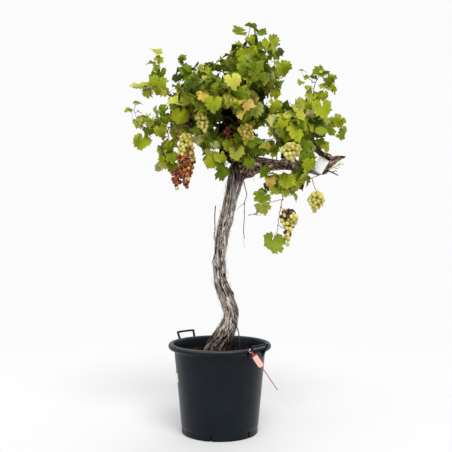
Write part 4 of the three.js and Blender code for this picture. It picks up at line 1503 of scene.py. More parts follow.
FRONT, LEFT, RIGHT, SLOPING, TILTED, LEVEL, UNDER, BACK = Pose
DEEP, GREEN, FRESH, LIME, GOLD, BLUSH, SHADE = Tint
SHOWN = {
    "leaves_plume": (
        (0.4, 0.5, 0.8, 50, LEVEL, 5, FRESH), (0.1, 0.3, 0.6, 48, SLOPING, 200, GREEN),
        (0.6, 0.4, 0.6, 42, SLOPING, -30, GREEN), (0.4, 0.3, 0.3, 40, FRONT, -60, DEEP),
        (0.0, 0.2, 0.2, 46, TILTED, 190, GREEN), (0.8, 0.2, 0.2, 52, FRONT, -60, FRESH),
        (0.9, 0.2, -0.1, 38, SLOPING, -50, GREEN),
    ),
    "leaves_upper": (
        (0.9, 0.2, 0.4, 52, FRONT, -60, FRESH), (0.8, 0.2, 0.1, 38, SLOPING, -60, GREEN),
        (0.0, 0.4, 0.7, 30, LEVEL, 185, FRESH), (-0.1, 0.4, 0.6, 28, LEVEL, 190, GREEN),
        (0.3, 0.1, 0.6, 42, FRONT, -110, DEEP), (0.6, 0.1, 0.3, 42, RIGHT, -70, GREEN),
        (0.8, 0.2, 0.0, 36, FRONT, -80, FRESH),
    ),
    "leaves_left_shoot": (
        (0.5, 0.5, 0.8, 46, TILTED, -20, LIME), (0.1, 0.4, 0.4, 30, LEVEL, 185, FRESH),
        (0.7, 0.5, 0.5, 34, SLOPING, -30, FRESH), (0.5, 0.3, 0.3, 28, SLOPING, -150, FRESH),
        (0.8, 0.5, 0.1, 36, FRONT, -90, GREEN),
    ),
    "leaves_left_spray": (
        (0.6, 0.2, 0.4, 60, FRONT, -100, FRESH), (0.4, 0.3, 0.2, 36, LEFT, -90, LIME),
        (0.3, 0.3, 0.4, 62, TILTED, 205, FRESH), (0.1, 0.3, 0.3, 56, TILTED, 200, LIME),
        (0.5, 0.4, 0.7, 32, FRONT, -130, GREEN),
    ),
    "leaves_left_bud": (
        (0.6, 0.5, 1.1, 32, SLOPING, 35, FRESH), (0.1, 0.5, 0.5, 24, SLOPING, 185, FRESH),
    ),
    "leaves_left_outer": (
        (0.3, 0.2, 0.7, 50, LEVEL, 190, FRESH), (0.6, 0.2, 0.7, 42, LEFT, -140, GREEN),
        (0.6, 0.2, 0.3, 42, FRONT, -70, FRESH),
    ),
    "leaves_left_drop": (
        (0.6, 0.4, 0.3, 54, FRONT, -100, FRESH),
    ),
    "leaves_crest_left": (
        (0.2, 0.4, 0.9, 30, LEVEL, -20, GREEN), (0.2, 0.4, 0.8, 30, SLOPING, -110, GREEN),
        (0.1, 0.3, 0.5, 32, FRONT, -110, DEEP), (0.7, 0.4, 0.8, 26, LEVEL, -20, FRESH),
        (0.3, 0.2, 0.7, 30, SLOPING, -20, GREEN), (0.6, 0.1, 0.6, 34, SLOPING, -60, FRESH),
    ),
    "leaves_left": (
        (0.2, 0.0, 0.1, 52, FRONT, -95, FRESH), (0.1, 0.0, 0.4, 50, SLOPING, 200, LIME),
        (0.3, 0.0, 0.5, 36, RIGHT, -100, LIME), (-0.1, 0.3, 0.3, 36, LEFT, -140, GREEN),
    ),
    "leaves_left_front": (
        (0.6, 0.1, 0.2, 38, FRONT, -80, GOLD), (0.3, 0.2, 0.7, 42, SLOPING, -120, DEEP),
    ),
    "leaves_middle_front": (
        (0.4, 0.0, 0.9, 52, SLOPING, -75, LIME), (0.0, 0.1, 0.2, 50, FRONT, -95, FRESH),
        (0.3, 0.1, 0.3, 38, RIGHT, -70, LIME), (0.6, 0.2, 0.6, 46, SLOPING, -60, FRESH),
        (0.5, 0.1, 0.3, 42, SLOPING, -100, GOLD), (0.7, 0.1, 0.2, 34, RIGHT, -80, BLUSH),
        (0.6, 0.1, -0.1, 34, LEFT, -90, GOLD), (0.1, 0.4, 0.8, 44, FRONT, -110, GREEN),
    ),
    "leaves_right": (
        (0.8, 0.0, 0.8, 60, FRONT, -80, FRESH), (0.6, 0.0, 0.9, 48, RIGHT, -110, FRESH),
        (0.6, 0.0, 0.7, 40, UNDER, 190, LIME), (0.1, 0.1, 0.9, 46, RIGHT, -80, FRESH),
        (0.3, 0.1, 0.7, 38, SLOPING, -120, LIME), (0.8, 0.0, 0.4, 40, SLOPING, -40, FRESH),
        (0.0, 0.2, 0.0, 42, FRONT, -80, GREEN), (0.9, 0.2, 0.4, 36, FRONT, -70, GREEN),
        (0.1, 0.2, 0.0, 42, LEFT, -90, GREEN), (0.1, 0.2, -0.1, 36, SLOPING, -110, FRESH),
    ),
    "leaves_right_front": (
        (0.6, 0.1, 0.1, 54, SLOPING, -125, FRESH), (0.3, 0.2, 0.1, 38, SLOPING, -60, GREEN),
        (0.4, 0.2, -0.1, 38, FRONT, -100, GREEN),
    ),
    "leaves_right_shoot": (
        (0.6, 0.4, 0.9, 40, SLOPING, 20, LIME), (0.4, 0.3, 0.8, 44, TILTED, 185, GREEN),
        (0.8, 0.4, 0.7, 32, SLOPING, -30, FRESH), (0.7, 0.2, 0.6, 30, FRONT, -70, GREEN),
        (0.8, 0.3, 0.5, 32, SLOPING, -20, FRESH), (0.5, 0.2, 0.5, 28, SLOPING, 170, FRESH),
        (0.6, 0.2, 0.3, 34, FRONT, -80, FRESH), (0.2, 0.2, 0.3, 42, SLOPING, -120, FRESH),
        (0.0, 0.4, 0.9, 30, LEVEL, -25, FRESH), (-0.1, 0.4, 0.6, 26, LEVEL, 180, FRESH),
        (0.1, 0.4, 0.7, 26, SLOPING, -130, FRESH),
        (0.1, 0.2, 0.5, 24, SLOPING, -130, FRESH), (0.3, 0.4, 0.7, 26, LEVEL, -10, GREEN),
    ),
    "leaves_right_outer": (
        (0.5, 0.3, 0.5, 44, FRONT, -130, FRESH), (0.6, 0.4, -0.1, 30, FRONT, -30, GREEN),
    ),
    "leaves_arm_front": (
        (0.4, 0.0, 0.5, 56, FRONT, -110, GREEN), (0.5, -0.1, 0.3, 44, FRONT, -100, FRESH),
        (0.2, 0.0, 0.9, 52, FRONT, -110, GREEN),
    ),
    "leaves_right_low": (
        (0.8, 0.3, -0.2, 26, SLOPING, 10, FRESH), (0.7, 0.2, 0.3, 34, SLOPING, -30, FRESH),
        (0.5, 0.1, 0.5, 30, FRONT, -70, GREEN),
    ),
    "leaves_fork": (
        (0.5, 0.1, 0.0, 34, FRONT, -100, GREEN), (0.2, 0.0, 0.3, 44, FRONT, -80, LIME),
        (0.6, 0.1, 0.7, 48, SLOPING, -100, GREEN), (0.9, 0.2, 0.6, 30, LEFT, -80, GOLD),
    ),
    "leaves_fork_left": (
        (0.8, 0.0, 0.0, 46, FRONT, -100, GREEN), (0.4, 0.1, 0.2, 40, FRONT, -120, FRESH),
        (0.7, 0.1, 0.3, 38, LEFT, -80, FRESH), (1.0, 0.0, 0.6, 46, FRONT, -70, FRESH),
        (0.5, 0.1, 0.9, 40, LEFT, -80, DEEP), (0.5, 0.1, 0.6, 30, UNDER, -80, LIME),
        # Two near-black leaves behind an opening: painted shade.
        (0.8, 1.0, 1.0, 55, FRONT, -90, SHADE), (1.0, 1.0, 0.9, 55, FRONT, -90, SHADE),
    ),
    "leaves_left_under": (
        (0.7, 0.2, -0.2, 34, UNDER, -80, LIME),
    ),
    "leaves_left_low": (
        (0.6, 0.3, 0.7, 38, LEFT, -110, FRESH), (0.8, 0.1, 0.4, 42, FRONT, -80, GREEN),
        (0.4, 0.3, 0.4, 32, SLOPING, 200, FRESH), (0.8, 0.3, 0.1, 36, FRONT, -90, GREEN),
    ),
    "leaves_under_arm": (
        (0.2, 0.0, 0.4, 38, FRONT, -80, BLUSH), (0.5, 0.0, 0.4, 52, FRONT, -95, FRESH),
        (0.9, 0.0, 0.6, 50, RIGHT, -110, LIME), (0.1, 0.2, 0.7, 44, SLOPING, -150, GREEN),
        (0.7, 0.1, 0.4, 38, RIGHT, -60, GREEN), (0.3, 0.1, 0.1, 34, FRONT, -70, FRESH),
        (0.5, 0.2, 0.0, 30, FRONT, -80, LIME), (0.7, 0.2, -0.1, 32, SLOPING, -30, FRESH),
    ),
    "leaves_hanging_pair": (
        (0.5, 0.2, 0.7, 56, FRONT, -150, GREEN), (0.6, 0.1, 0.2, 52, UNDER, -75, FRESH),
        (0.1, 0.3, -0.1, 32, LEVEL, 200, GREEN),
    ),
    "leaves_hanging_leaf": (
        (0.4, 0.6, 0.5, 74, BACK, -105, GREEN),
    ),
}


@dataclass
class Foliage:
    """Every leaf's junction with its stalk, its axes, its length and its tint."""

    junction: Array
    tip: Array
    face: Array
    length: Array
    tint: Array

    @classmethod
    def joined(cls, parts: Sequence["Foliage"]) -> "Foliage":
        """Put several lots of leaves into one."""
        return cls(*(np.concatenate(column) for column in zip(*(part.columns() for part in parts))))

    def columns(self) -> tuple[Array, ...]:
        """List the arrays in their order."""
        return self.junction, self.tip, self.face, self.length, self.tint

    def some(self, chosen: Array) -> "Foliage":
        """Keep the chosen leaves."""
        return Foliage(*(column[chosen] for column in self.columns()))


@dataclass(frozen=True)
class LeafPlan:
    """The outline and the faces that every leaf shares.

    The outline's distance from the stalk follows five lobes and the notches between
    them, and a tooth stands on every other point. Inside it is a half ring of points
    and the stalk's own point, and a second skin below makes the leaf a closed solid.
    """

    bearings: tuple[float, ...] = (0, 12, 27, 40, 52, 64, 79, 92, 104, 120, 146, 160, 172)
    reaches: tuple[float, ...] = (1.0, 0.92, 0.77, 0.88, 0.95, 0.86, 0.70, 0.78, 0.83, 0.74, 0.67, 0.58, 0.30)
    mean_reach: float = 0.82
    rim: int = 30
    inner: float = 0.56
    tooth: float = 0.075
    thickness: float = 0.0006
    kinds: int = 14
    seed: int = 3

    def plans(self) -> Array:
        """Draw every kind of leaf flat, as (kinds, points, 2), with the tip at (0, 1).

        The points are the stalk, the inner ring and the rim. The lobes are deeper on
        some kinds than on others, and no two kinds have the same teeth.
        """
        rng = np.random.default_rng(self.seed)
        turn = np.radians(np.linspace(-self.bearings[-1], self.bearings[-1], self.rim))
        size = np.degrees(np.abs(turn))
        drawn = []
        for _ in range(self.kinds):
            depth = rng.uniform(0.6, 1.45)
            jitter = rng.normal(0, 0.03, len(self.reaches))
            reaches = self.mean_reach + (np.array(self.reaches) - self.mean_reach) * depth + jitter
            reaches[[0, -1]] = self.reaches[0], self.reaches[-1]
            lean = 1 + 0.07 * rng.normal() * np.sin(turn)
            bite = self.tooth * rng.uniform(0.5, 1.6, self.rim)
            edge = np.interp(size, self.bearings, reaches) * lean * (
                1 + bite * np.where(np.arange(self.rim) % 2, -1.0, 1.0))
            rim = np.stack([rng.uniform(0.90, 1.06) * edge * np.sin(turn), edge * np.cos(turn)], -1)
            inner = self.inner * (rim[0::2] + rim[1::2]) / 2
            drawn.append(np.concatenate([[[0, 0]], inner, rim]))
        return np.array(drawn)

    def faces(self) -> tuple[Array, Array, Array, Array]:
        """Number the corners of both skins.

        Returns:
            The triangles, the quads, and which of each belong to the underside.
        """
        half = self.rim // 2
        inner, rim = 1 + np.arange(half), 1 + half + np.arange(self.rim)
        low = np.concatenate([[inner[0]], 1 + half + self.rim + np.arange(half - 2), [inner[-1]]])
        three, four = [], []
        for ring, turned in ((inner, False), (low, True)):
            fan = np.stack([np.zeros(half - 1, int), ring[1:], ring[:-1]], -1)
            teeth = np.stack([ring, rim[1::2], rim[0::2]], -1)
            strips = np.stack([ring[1:], rim[2::2], rim[1:-1:2], ring[:-1]], -1)
            three.append(np.concatenate([fan, teeth])[:, ::-1 if turned else 1])
            four.append(strips[:, ::-1 if turned else 1])
        under = [np.repeat([0, 1], [len(faces) for faces in sides]) for sides in (three, four)]
        return np.concatenate(three), np.concatenate(four), *under

    def blades(self, leaves: Foliage, seed: int) -> Shape:
        """Bend a plan into every leaf.

        A blade's height is its length times a fold up from the main rib, less a droop
        that grows as the square of the way to the tip, a cup and a twist that grow as
        the square of the distance, and two waves round the rim.

        Args:
            leaves: The leaves.
            seed: The seed for their forms.

        Returns:
            One shape with all the leaves.
        """
        rng = np.random.default_rng(seed)
        many = len(leaves.length)
        flat = self.plans()[rng.integers(0, self.kinds, many)]
        x, y = flat[..., 0], flat[..., 1]
        far = np.hypot(x, y)
        bearing = np.arctan2(x, y)

        def draw(middle: float, spread: float) -> Array:
            """Draw one number for each leaf."""
            return rng.normal(middle, spread, (many, 1))

        fold, droop = draw(0.22, 0.32), rng.gamma(2.6, 0.17, (many, 1)).clip(0.0, 1.0)
        cup, twist, lean = draw(-0.06, 0.26), draw(0, 0.38), draw(0, 0.2)
        wave, turns = rng.uniform(0.05, 0.2, (many, 1)), rng.integers(3, 6, (many, 1))
        phase = rng.uniform(0, 2 * np.pi, (2, many, 1))
        rise = (fold * np.abs(x) - droop * y**2 * np.where(y > 0, 1.0, 0.4) + cup * far**2
                + twist * x * y + lean * x + wave * far**2 * np.sin(turns * bearing + phase[0])
                + 0.45 * wave * far**3 * np.sin(9 * bearing + phase[1]))
        side = np.cross(leaves.tip, leaves.face)
        size = leaves.length[:, None, None]
        bent = (x[..., None] * side[:, None] + y[..., None] * leaves.tip[:, None]
                + rise[..., None] * leaves.face[:, None])
        points = leaves.junction[:, None] + size * bent
        half = self.rim // 2
        under = points[:, 2:half] - self.thickness * leaves.face[:, None]
        points = np.concatenate([points, under], 1)
        plan = np.concatenate([flat, flat[:, 2:half]], 1)
        each = points.shape[1]
        start = (np.arange(many) * each)[:, None, None]
        three, four, low_three, low_four = self.faces()
        tone = np.repeat(rng.beta(2.2, 2.2, many), each)
        return Shape(
            points.reshape(-1, 3), (three[None] + start).reshape(-1, 3), (four[None] + start).reshape(-1, 4),
            {"uv": plan.reshape(-1, 2), "tone": tone}, np.tile(low_three, many), np.tile(low_four, many))


@dataclass
class Crown:
    """The canes, stalks, leaves and tendrils that grow on from the old wood."""

    seed: int = 17
    shown_seed: int = 417
    stalk_seed: int = 517
    blade_seed: int = 717
    curl_seed: int = 917
    stalk: tuple[float, float] = (0.45, 0.95)
    directness: float = 0.30
    tip_radius: float = 0.0012
    pipe: float = 2.35
    thickest: float = 0.0058
    tries: int = 10
    scatter: float = 0.75
    tendrils: int = 46
    clearing: tuple[float, float] = (0.10, 0.62)
    clearing_rise: float = 0.004
    steps_to_bud: int = 4
    bud_swell: float = 0.22
    curl_radius: float = 0.006
    curl_thickness: float = 0.00075
    heart: float = -0.02
    ripe_from: float = 0.0022
    behind: float = 0.25
    rim_marks: int = 5
    marks: tuple[tuple[float, float], ...] = (
        (0, 0.95), (0.7, 0.5), (-0.7, 0.5), (0.7, -0.3), (-0.7, -0.3), (0, 0.45), (0.4, 0.75), (-0.4, 0.75),
        (0.4, 0), (-0.4, 0), (0.85, 0.2), (-0.85, 0.2))
    # Depths in a mass past which a leaf's tint is darkened one step: painted shade.
    painted_shade_depths: tuple[float, float] = (0.060, 0.084)
    # How far behind an opening, and how much wider than it, leaves are painted near black as shade.
    painted_shade_depth: float = 0.11
    painted_shade_reach: float = 1.7
    wood: tuple[tuple[str, int], ...] = (
        ("arm_right", 0), ("arm_right_end", 0), ("spur_right", 0), ("arm_left", 0), ("limb_middle", 2),
        ("limb_back", 2), ("cane_left", 2), ("cane_hanging", 2), ("cane_hanging_side", 0))

    def make(self) -> None:
        """Lay the leaves, grow the canes to them, and dress it all."""
        grown = [self.lay(spray, self.seed + number) for number, spray in enumerate(SPRAYS)]
        leaves = Foliage.joined([*grown, self.shown()])
        log.info("leaves: %d", len(leaves.length))
        buds = self.stalks(leaves)
        self.canes(buds)
        self.blades(leaves)

    @staticmethod
    def middles(gap: float, corners: Array, faces: Array, rng: np.random.Generator) -> Array:
        """Draw middles inside a mass, and keep those with no other nearer than the gap.

        Args:
            gap: The least distance between two middles.
            corners: The mass's corners.
            faces: Its triangles.
            rng: Its random numbers.

        Returns:
            The middles, as (n, 3).
        """
        low, high = corners.min(0), corners.max(0)
        draws = max(60, int(np.prod(high - low) / gap**3 * 9))
        drawn = rng.uniform(low, high, (draws, 3))
        drawn = drawn[within(drawn, corners, faces)]
        kept = drawn[:1]
        for point in drawn[1:]:
            if np.min(np.sum((kept - point) ** 2, 1)) > gap**2:
                kept = np.concatenate([kept, point[None]])
        return kept

    def lay(self, spray: Spray, seed: int) -> Foliage:
        """Place leaves through one mass.

        Each leaf tries a few ways to lie, which face out of the mass and up, with the
        tip hanging, and keeps the one with most of its blade inside. A leaf that would
        still cover a gap or the bare arm is dropped. Leaves deep in the mass take a
        darker tint, as painted shade, and those behind an opening in the crown are
        painted nearly black, as shade.

        Args:
            spray: The mass and how it is leaved.
            seed: The seed of its random draws.

        Returns:
            The mass's leaves.
        """
        rng = np.random.default_rng(seed)
        corners, faces = solid_of(spray.node)
        low, high = corners.min(0), corners.max(0)
        kept = self.middles(spray.gap, corners, faces, rng)
        many = len(kept)
        heart, half = (low + high) / 2, (high - low) / 2
        out = unit((kept - heart) / half**2 * half.mean())
        out[:, 1] += spray.front * np.where(kept[:, 1] < heart[1], -1, 1)
        out[:, 2] = out[:, 2] * 0.5 + spray.lift
        faces_out = unit(out[None] + self.scatter * rng.normal(size=(self.tries, many, 3)))
        hang = np.stack([out[:, 0] * 0.45, out[:, 1] * 0.2, np.full(many, -spray.droop)], -1)
        tips = square_to(hang[None] + 0.6 * rng.normal(size=(self.tries, many, 3)), faces_out)
        length = rng.uniform(*spray.lengths, many)
        side = np.cross(tips, faces_out)
        reach = length[None, :, None]
        junction = kept[None] - self.behind * reach * tips
        marks = np.stack([junction + reach * (a * side + b * tips) for a, b in self.marks])
        rim = marks[:self.rim_marks]
        inside = within(rim.reshape(-1, 3), corners, faces).reshape(rim.shape[:3]).sum(0)
        outward = kept[:, 1] < self.heart
        hides = self.in_gaps(marks, SKY).any(0) | self.in_gaps(marks, HOLLOWS).any(0) & outward
        inside = inside - 9 * (self.in_clearing(marks).any(0) | hides)
        best = inside.argmax(0)
        pick = (best, np.arange(many))
        length = np.where(inside[pick] < 3, length * 0.8, length)
        tint = rng.choice(len(spray.mood.value), many, p=spray.mood.value)
        # Painted shade: each depth that a leaf lies past darkens its tint one step.
        depth = (1 - np.linalg.norm((kept - heart) / half, axis=1)) * half.min()
        for dim in self.painted_shade_depths:
            tint = tint - (depth > dim)
        tint = np.maximum(tint, 0)
        # Painted shade: leaves behind an opening take the near-black SHADE tint.
        shaded = self.in_gaps(kept, HOLLOWS, self.painted_shade_reach) & ~outward
        shaded = shaded & (kept[:, 1] < self.heart + self.painted_shade_depth)
        tint[shaded] = list(Tint).index(Tint.SHADE)
        return Foliage(junction[pick], tips[pick], faces_out[pick], length, tint).some(inside[pick] >= 2)

    def in_clearing(self, points: Array) -> Array:
        """Tell which points hide the bare arm: in front of it, between its ends."""
        low, high = (np.array(c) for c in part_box("arm_right"))
        wide = high[0] - low[0]
        left, right = (low[0] + share * wide for share in self.clearing)
        foot, top = low[2] + self.clearing_rise, high[2] + self.clearing_rise
        x, y, z = np.moveaxis(points, -1, 0)
        return (x > left) & (x < right) & (y < high[1]) & (z > foot) & (z < top)

    @staticmethod
    def in_gaps(points: Array, gaps: tuple[Point, ...], wider: float = 1.0) -> Array:
        """Tell which points lie in any of the gaps, along the line to a viewer in front."""
        eye = np.array(Studio.eye)
        seen = eye + (points - eye) * (-eye[1] / (points[..., 1:2] - eye[1]))
        x, z, radius = np.array(gaps).T
        off = np.hypot(seen[..., 0, None] - x, seen[..., 2, None] - z)
        return (off < radius * wider).any(-1)

    def shown(self) -> Foliage:
        """Place the listed leaves, each turned a little at random."""
        rng = np.random.default_rng(self.shown_seed)
        nodes = [node for node, leaves in SHOWN.items() for _ in leaves]
        leaves = [ShownLeaf(*row) for rows in SHOWN.values() for row in rows]
        low, high = np.array([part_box(node) for node in nodes]).transpose(1, 0, 2)
        face = unit(np.array([leaf.pose.value for leaf in leaves]) + rng.normal(0, 0.14, (len(leaves), 3)))
        turn = np.radians([leaf.bearing for leaf in leaves])
        tip = np.stack([np.cos(turn), -0.12 * np.ones(len(leaves)), np.sin(turn)], -1)
        tip = square_to(tip, face)
        length = np.array([leaf.length for leaf in leaves]) / 1000
        middle = low + (high - low) * np.array([(leaf.x, leaf.y, leaf.z) for leaf in leaves])
        tint = np.array([list(Tint).index(leaf.tint) for leaf in leaves])
        return Foliage(middle - self.behind * length[:, None] * tip, tip, face, length, tint)

    def stalks(self, leaves: Foliage) -> Array:
        """Give each leaf its stalk.

        A stalk is the quadratic curve from the blade's junction, where it leaves behind
        the blade, back towards the nearest wood.

        Args:
            leaves: The leaves.

        Returns:
            The far ends of the stalks, which are the buds that the canes grow to.
        """
        rng = np.random.default_rng(self.stalk_seed)
        roots = self.roots()
        near = roots[np.argmin(((leaves.junction[:, None] - roots[None]) ** 2).sum(-1), 1)]
        home = unit(near - leaves.junction)
        size = (leaves.length * rng.uniform(*self.stalk, len(leaves.length)))[:, None]
        back = unit(-leaves.face * 0.55 - leaves.tip * 0.45)
        heading = unit(home * 0.7 + back * 0.5 + (0, 0, -0.25) + 0.25 * rng.normal(size=home.shape))
        size = np.minimum(size, 0.8 * np.linalg.norm(near - leaves.junction, axis=1, keepdims=True))
        bend = leaves.junction + back * size * 0.5
        bud = leaves.junction + (back * 0.35 + heading * 0.75) * size
        t = np.linspace(0, 1, 6)[None, :, None]
        start = leaves.junction[:, None] - 0.0004 * leaves.face[:, None]
        paths = start * (1 - t) ** 2 + 2 * bend[:, None] * t * (1 - t) + bud[:, None] * t**2
        radii = leaves.length[:, None] * np.linspace(0.011, 0.019, 6)[None]
        stem = CaneSkin("leaf_stalk", paint(150, 158, 74), paint(158, 104, 66)).material()
        tubes(paths, radii.clip(0.0006, 0.0017), 5).build("leaf_stalks", [stem], "cane")
        return bud

    def roots(self) -> Array:
        """Take points along the limbs and canes that shoots may start from."""
        rows = [Spine.of_node(node, axis).even(26).points for node, axis in self.wood]
        hand = [flowing(np.array(strand.points), 6 * len(strand.points)) for strand in HAND_CANES]
        head = Spine.of_node("trunk", 2).even(60).points[-6:]
        return np.concatenate([*rows, *hand, head])

    def grow(self, roots: Array, buds: Array) -> tuple[Array, Array]:
        """Join every bud to the wood.

        The plant takes on one bud at a time: the one that is cheapest to reach, where
        the cost is the straight way from a point of the plant, plus a share of the way
        from that point back to the wood. The share keeps the shoots direct.

        Args:
            roots: Points on the wood.
            buds: The buds.

        Returns:
            Each bud's parent, numbered through roots and then buds, and the order in
            which the buds were taken.
        """
        points = np.concatenate([roots, buds])
        behind = np.zeros(len(points))
        base = len(roots)
        reach = np.linalg.norm(buds[:, None] - roots[None], axis=-1)
        parent, cost = reach.argmin(1), reach.min(1)
        open_buds = np.ones(len(buds), bool)
        order = []
        for _ in range(len(buds)):
            taken = int(np.where(open_buds, cost, np.inf).argmin())
            open_buds[taken] = False
            order.append(taken)
            step = np.linalg.norm(buds[taken] - points[parent[taken]])
            behind[base + taken] = behind[parent[taken]] + step
            offer = np.linalg.norm(buds - buds[taken], axis=1) + self.directness * behind[base + taken]
            better = open_buds & (offer < cost)
            cost[better], parent[better] = offer[better], base + taken
        return parent, np.array(order)

    def canes(self, buds: Array) -> None:
        """Grow the canes, and build the ripe and the green ones.

        A cane runs on from each point to whichever of its branches carries the most
        leaves, and the others start canes of their own. Its radius follows the pipe
        rule, the number of leaves beyond raised to one over the pipe number, and it
        swells a little at each bud.

        Args:
            buds: The far ends of the leaf stalks.
        """
        roots = self.roots()
        parent, order = self.grow(roots, buds)
        base = len(roots)
        points = np.concatenate([roots, buds])
        load = np.zeros(len(points))
        heir = np.full(len(points), -1)
        for bud in order[::-1]:
            load[base + bud] += 1
            above = parent[bud]
            load[above] += load[base + bud]
            if heir[above] < 0 or load[base + bud] > load[heir[above]]:
                heir[above] = base + bud
        ripe, green, starts = [], [], []
        for bud in order:
            if heir[parent[bud]] == base + bud and parent[bud] >= base:
                continue
            chain = [parent[bud], base + bud]
            while heir[chain[-1]] >= 0:
                chain.append(heir[chain[-1]])
            carried = np.maximum(load[chain], 1.0)
            carried[0] = carried[1]
            thick = np.minimum(self.tip_radius * carried ** (1 / self.pipe), self.thickest)
            count = self.steps_to_bud * (len(chain) - 1) + 1
            path = flowing(points[chain], count)
            swell = 1 + self.bud_swell * (np.arange(count) % self.steps_to_bud == 0)
            radii = np.interp(np.linspace(0, len(chain) - 1, count), np.arange(len(chain)), thick) * swell
            lot, sides = (ripe, 6) if thick[0] > self.ripe_from else (green, 5)
            lot.append(tubes(path, radii, sides))
            starts.append(path[-1])
        brown = CaneSkin("ripe_cane", paint(112, 78, 48), paint(58, 36, 24), 0.6).material()
        leafy = CaneSkin("green_cane", paint(128, 130, 58), paint(122, 80, 48)).material()
        Shape.joined([*ripe, *(s.tube(False) for s in HAND_CANES)]).build("ripe_canes", [brown], "cane")
        Shape.joined(green).build("green_canes", [leafy], "cane")
        self.curls(np.array(starts)).build("tendrils", [leafy], "cane")
        pale = CaneSkin("pale_shoot", paint(176, 182, 92), paint(150, 140, 70)).material()
        Shape.joined([s.tube(False) for s in PALE_SHOOTS]).build("arm_shoots", [pale], "cane")

    def curls(self, starts: Array) -> Shape:
        """Wind tendrils from the ends of some canes.

        A tendril runs straight for a third of its length, and then winds round its own
        line in a spring whose radius shrinks to the tip.

        Args:
            starts: The canes' ends.

        Returns:
            All the tendrils.
        """
        rng = np.random.default_rng(self.curl_seed)
        start = starts[rng.choice(len(starts), self.tendrils, replace=False)][:, None]
        t = np.linspace(0, 1, 34)[None, :, None]
        heading = unit(rng.normal(size=(self.tendrils, 1, 3)) + (0, 0, -0.5))
        across = unit(np.cross(heading, (0.3, 0.5, 0.8)))
        over = np.cross(heading, across)
        length = rng.uniform(0.04, 0.075, (self.tendrils, 1, 1))
        coil = self.curl_radius * ease(t, 0.3, 0.6) * (1.15 - t)
        turn = 2 * np.pi * rng.uniform(2.0, 4.0, (self.tendrils, 1, 1)) * t
        wound = coil * (across * np.cos(turn) + over * np.sin(turn))
        paths = start + heading * length * (t - 0.25 * t**2) + wound
        return tubes(paths, self.curl_thickness, 4)

    def blades(self, leaves: Foliage) -> None:
        """Build one piece of leaves for each tint, which together replace the masses."""
        plan = LeafPlan()
        nodes = sorted({spray.node for spray in SPRAYS} | set(SHOWN))
        for number, tint in enumerate(Tint):
            upper, under, rib, ripe = (paint(*c) for c in tint.value)
            name = tint.name.lower()
            turning = TURNING.get(tint, LeafSkin.turning)
            top = LeafSkin(f"leaf_{name}", upper, rib, ripe, turning=turning)
            back = LeafSkin(f"leaf_{name}_under", under, rib, ripe, 0.62, 0.25, turning)
            plan.blades(leaves.some(leaves.tint == number), self.blade_seed + number).build(
                f"leaves_{name}", [top.material(), back.material()], "leaves",
                nodes if number == 0 else (), crease=75)


# ------------------------------------------------------------------ fruit
class Skin(Enum):
    """The berries' colours: skin, its deeper side and the bloom on it."""

    PALE = ((222, 214, 116), (190, 176, 68), (240, 238, 190))
    HONEY = ((222, 204, 96), (194, 162, 54), (238, 226, 160))
    AMBER = ((186, 96, 40), (134, 56, 20), (212, 150, 100))
    RUSSET = ((138, 58, 28), (84, 30, 14), (178, 112, 84))
    PURPLE = ((60, 28, 36), (32, 14, 20), (118, 94, 110))


@dataclass(frozen=True)
class Bunch:
    """A bunch of grapes, hung from a place in a node's box.

    The shares of the skins, in the order of Skin, are given for its top and its foot,
    and turn says how far down the one gives way to the other.
    """

    node: str
    at: Point
    length: float
    width: float
    top: tuple[float, ...]
    foot: tuple[float, ...]
    turn: float = 0.5
    berry: float = 0.0212
    lean: Point = (0.0, 0.0, -1.0)

    def down(self) -> Array:
        """Give the way that the bunch hangs."""
        return unit(np.array(self.lean))

    def hook(self) -> Array:
        """Find the top of the bunch's own line."""
        low, high = (np.array(c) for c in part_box(self.node))
        return low + (high - low) * np.array(self.at)

    def on_line(self, spots: Array) -> Array:
        """Drop points onto the bunch's own line."""
        return self.hook() + self.down() * ((spots - self.hook()) @ self.down())[:, None]


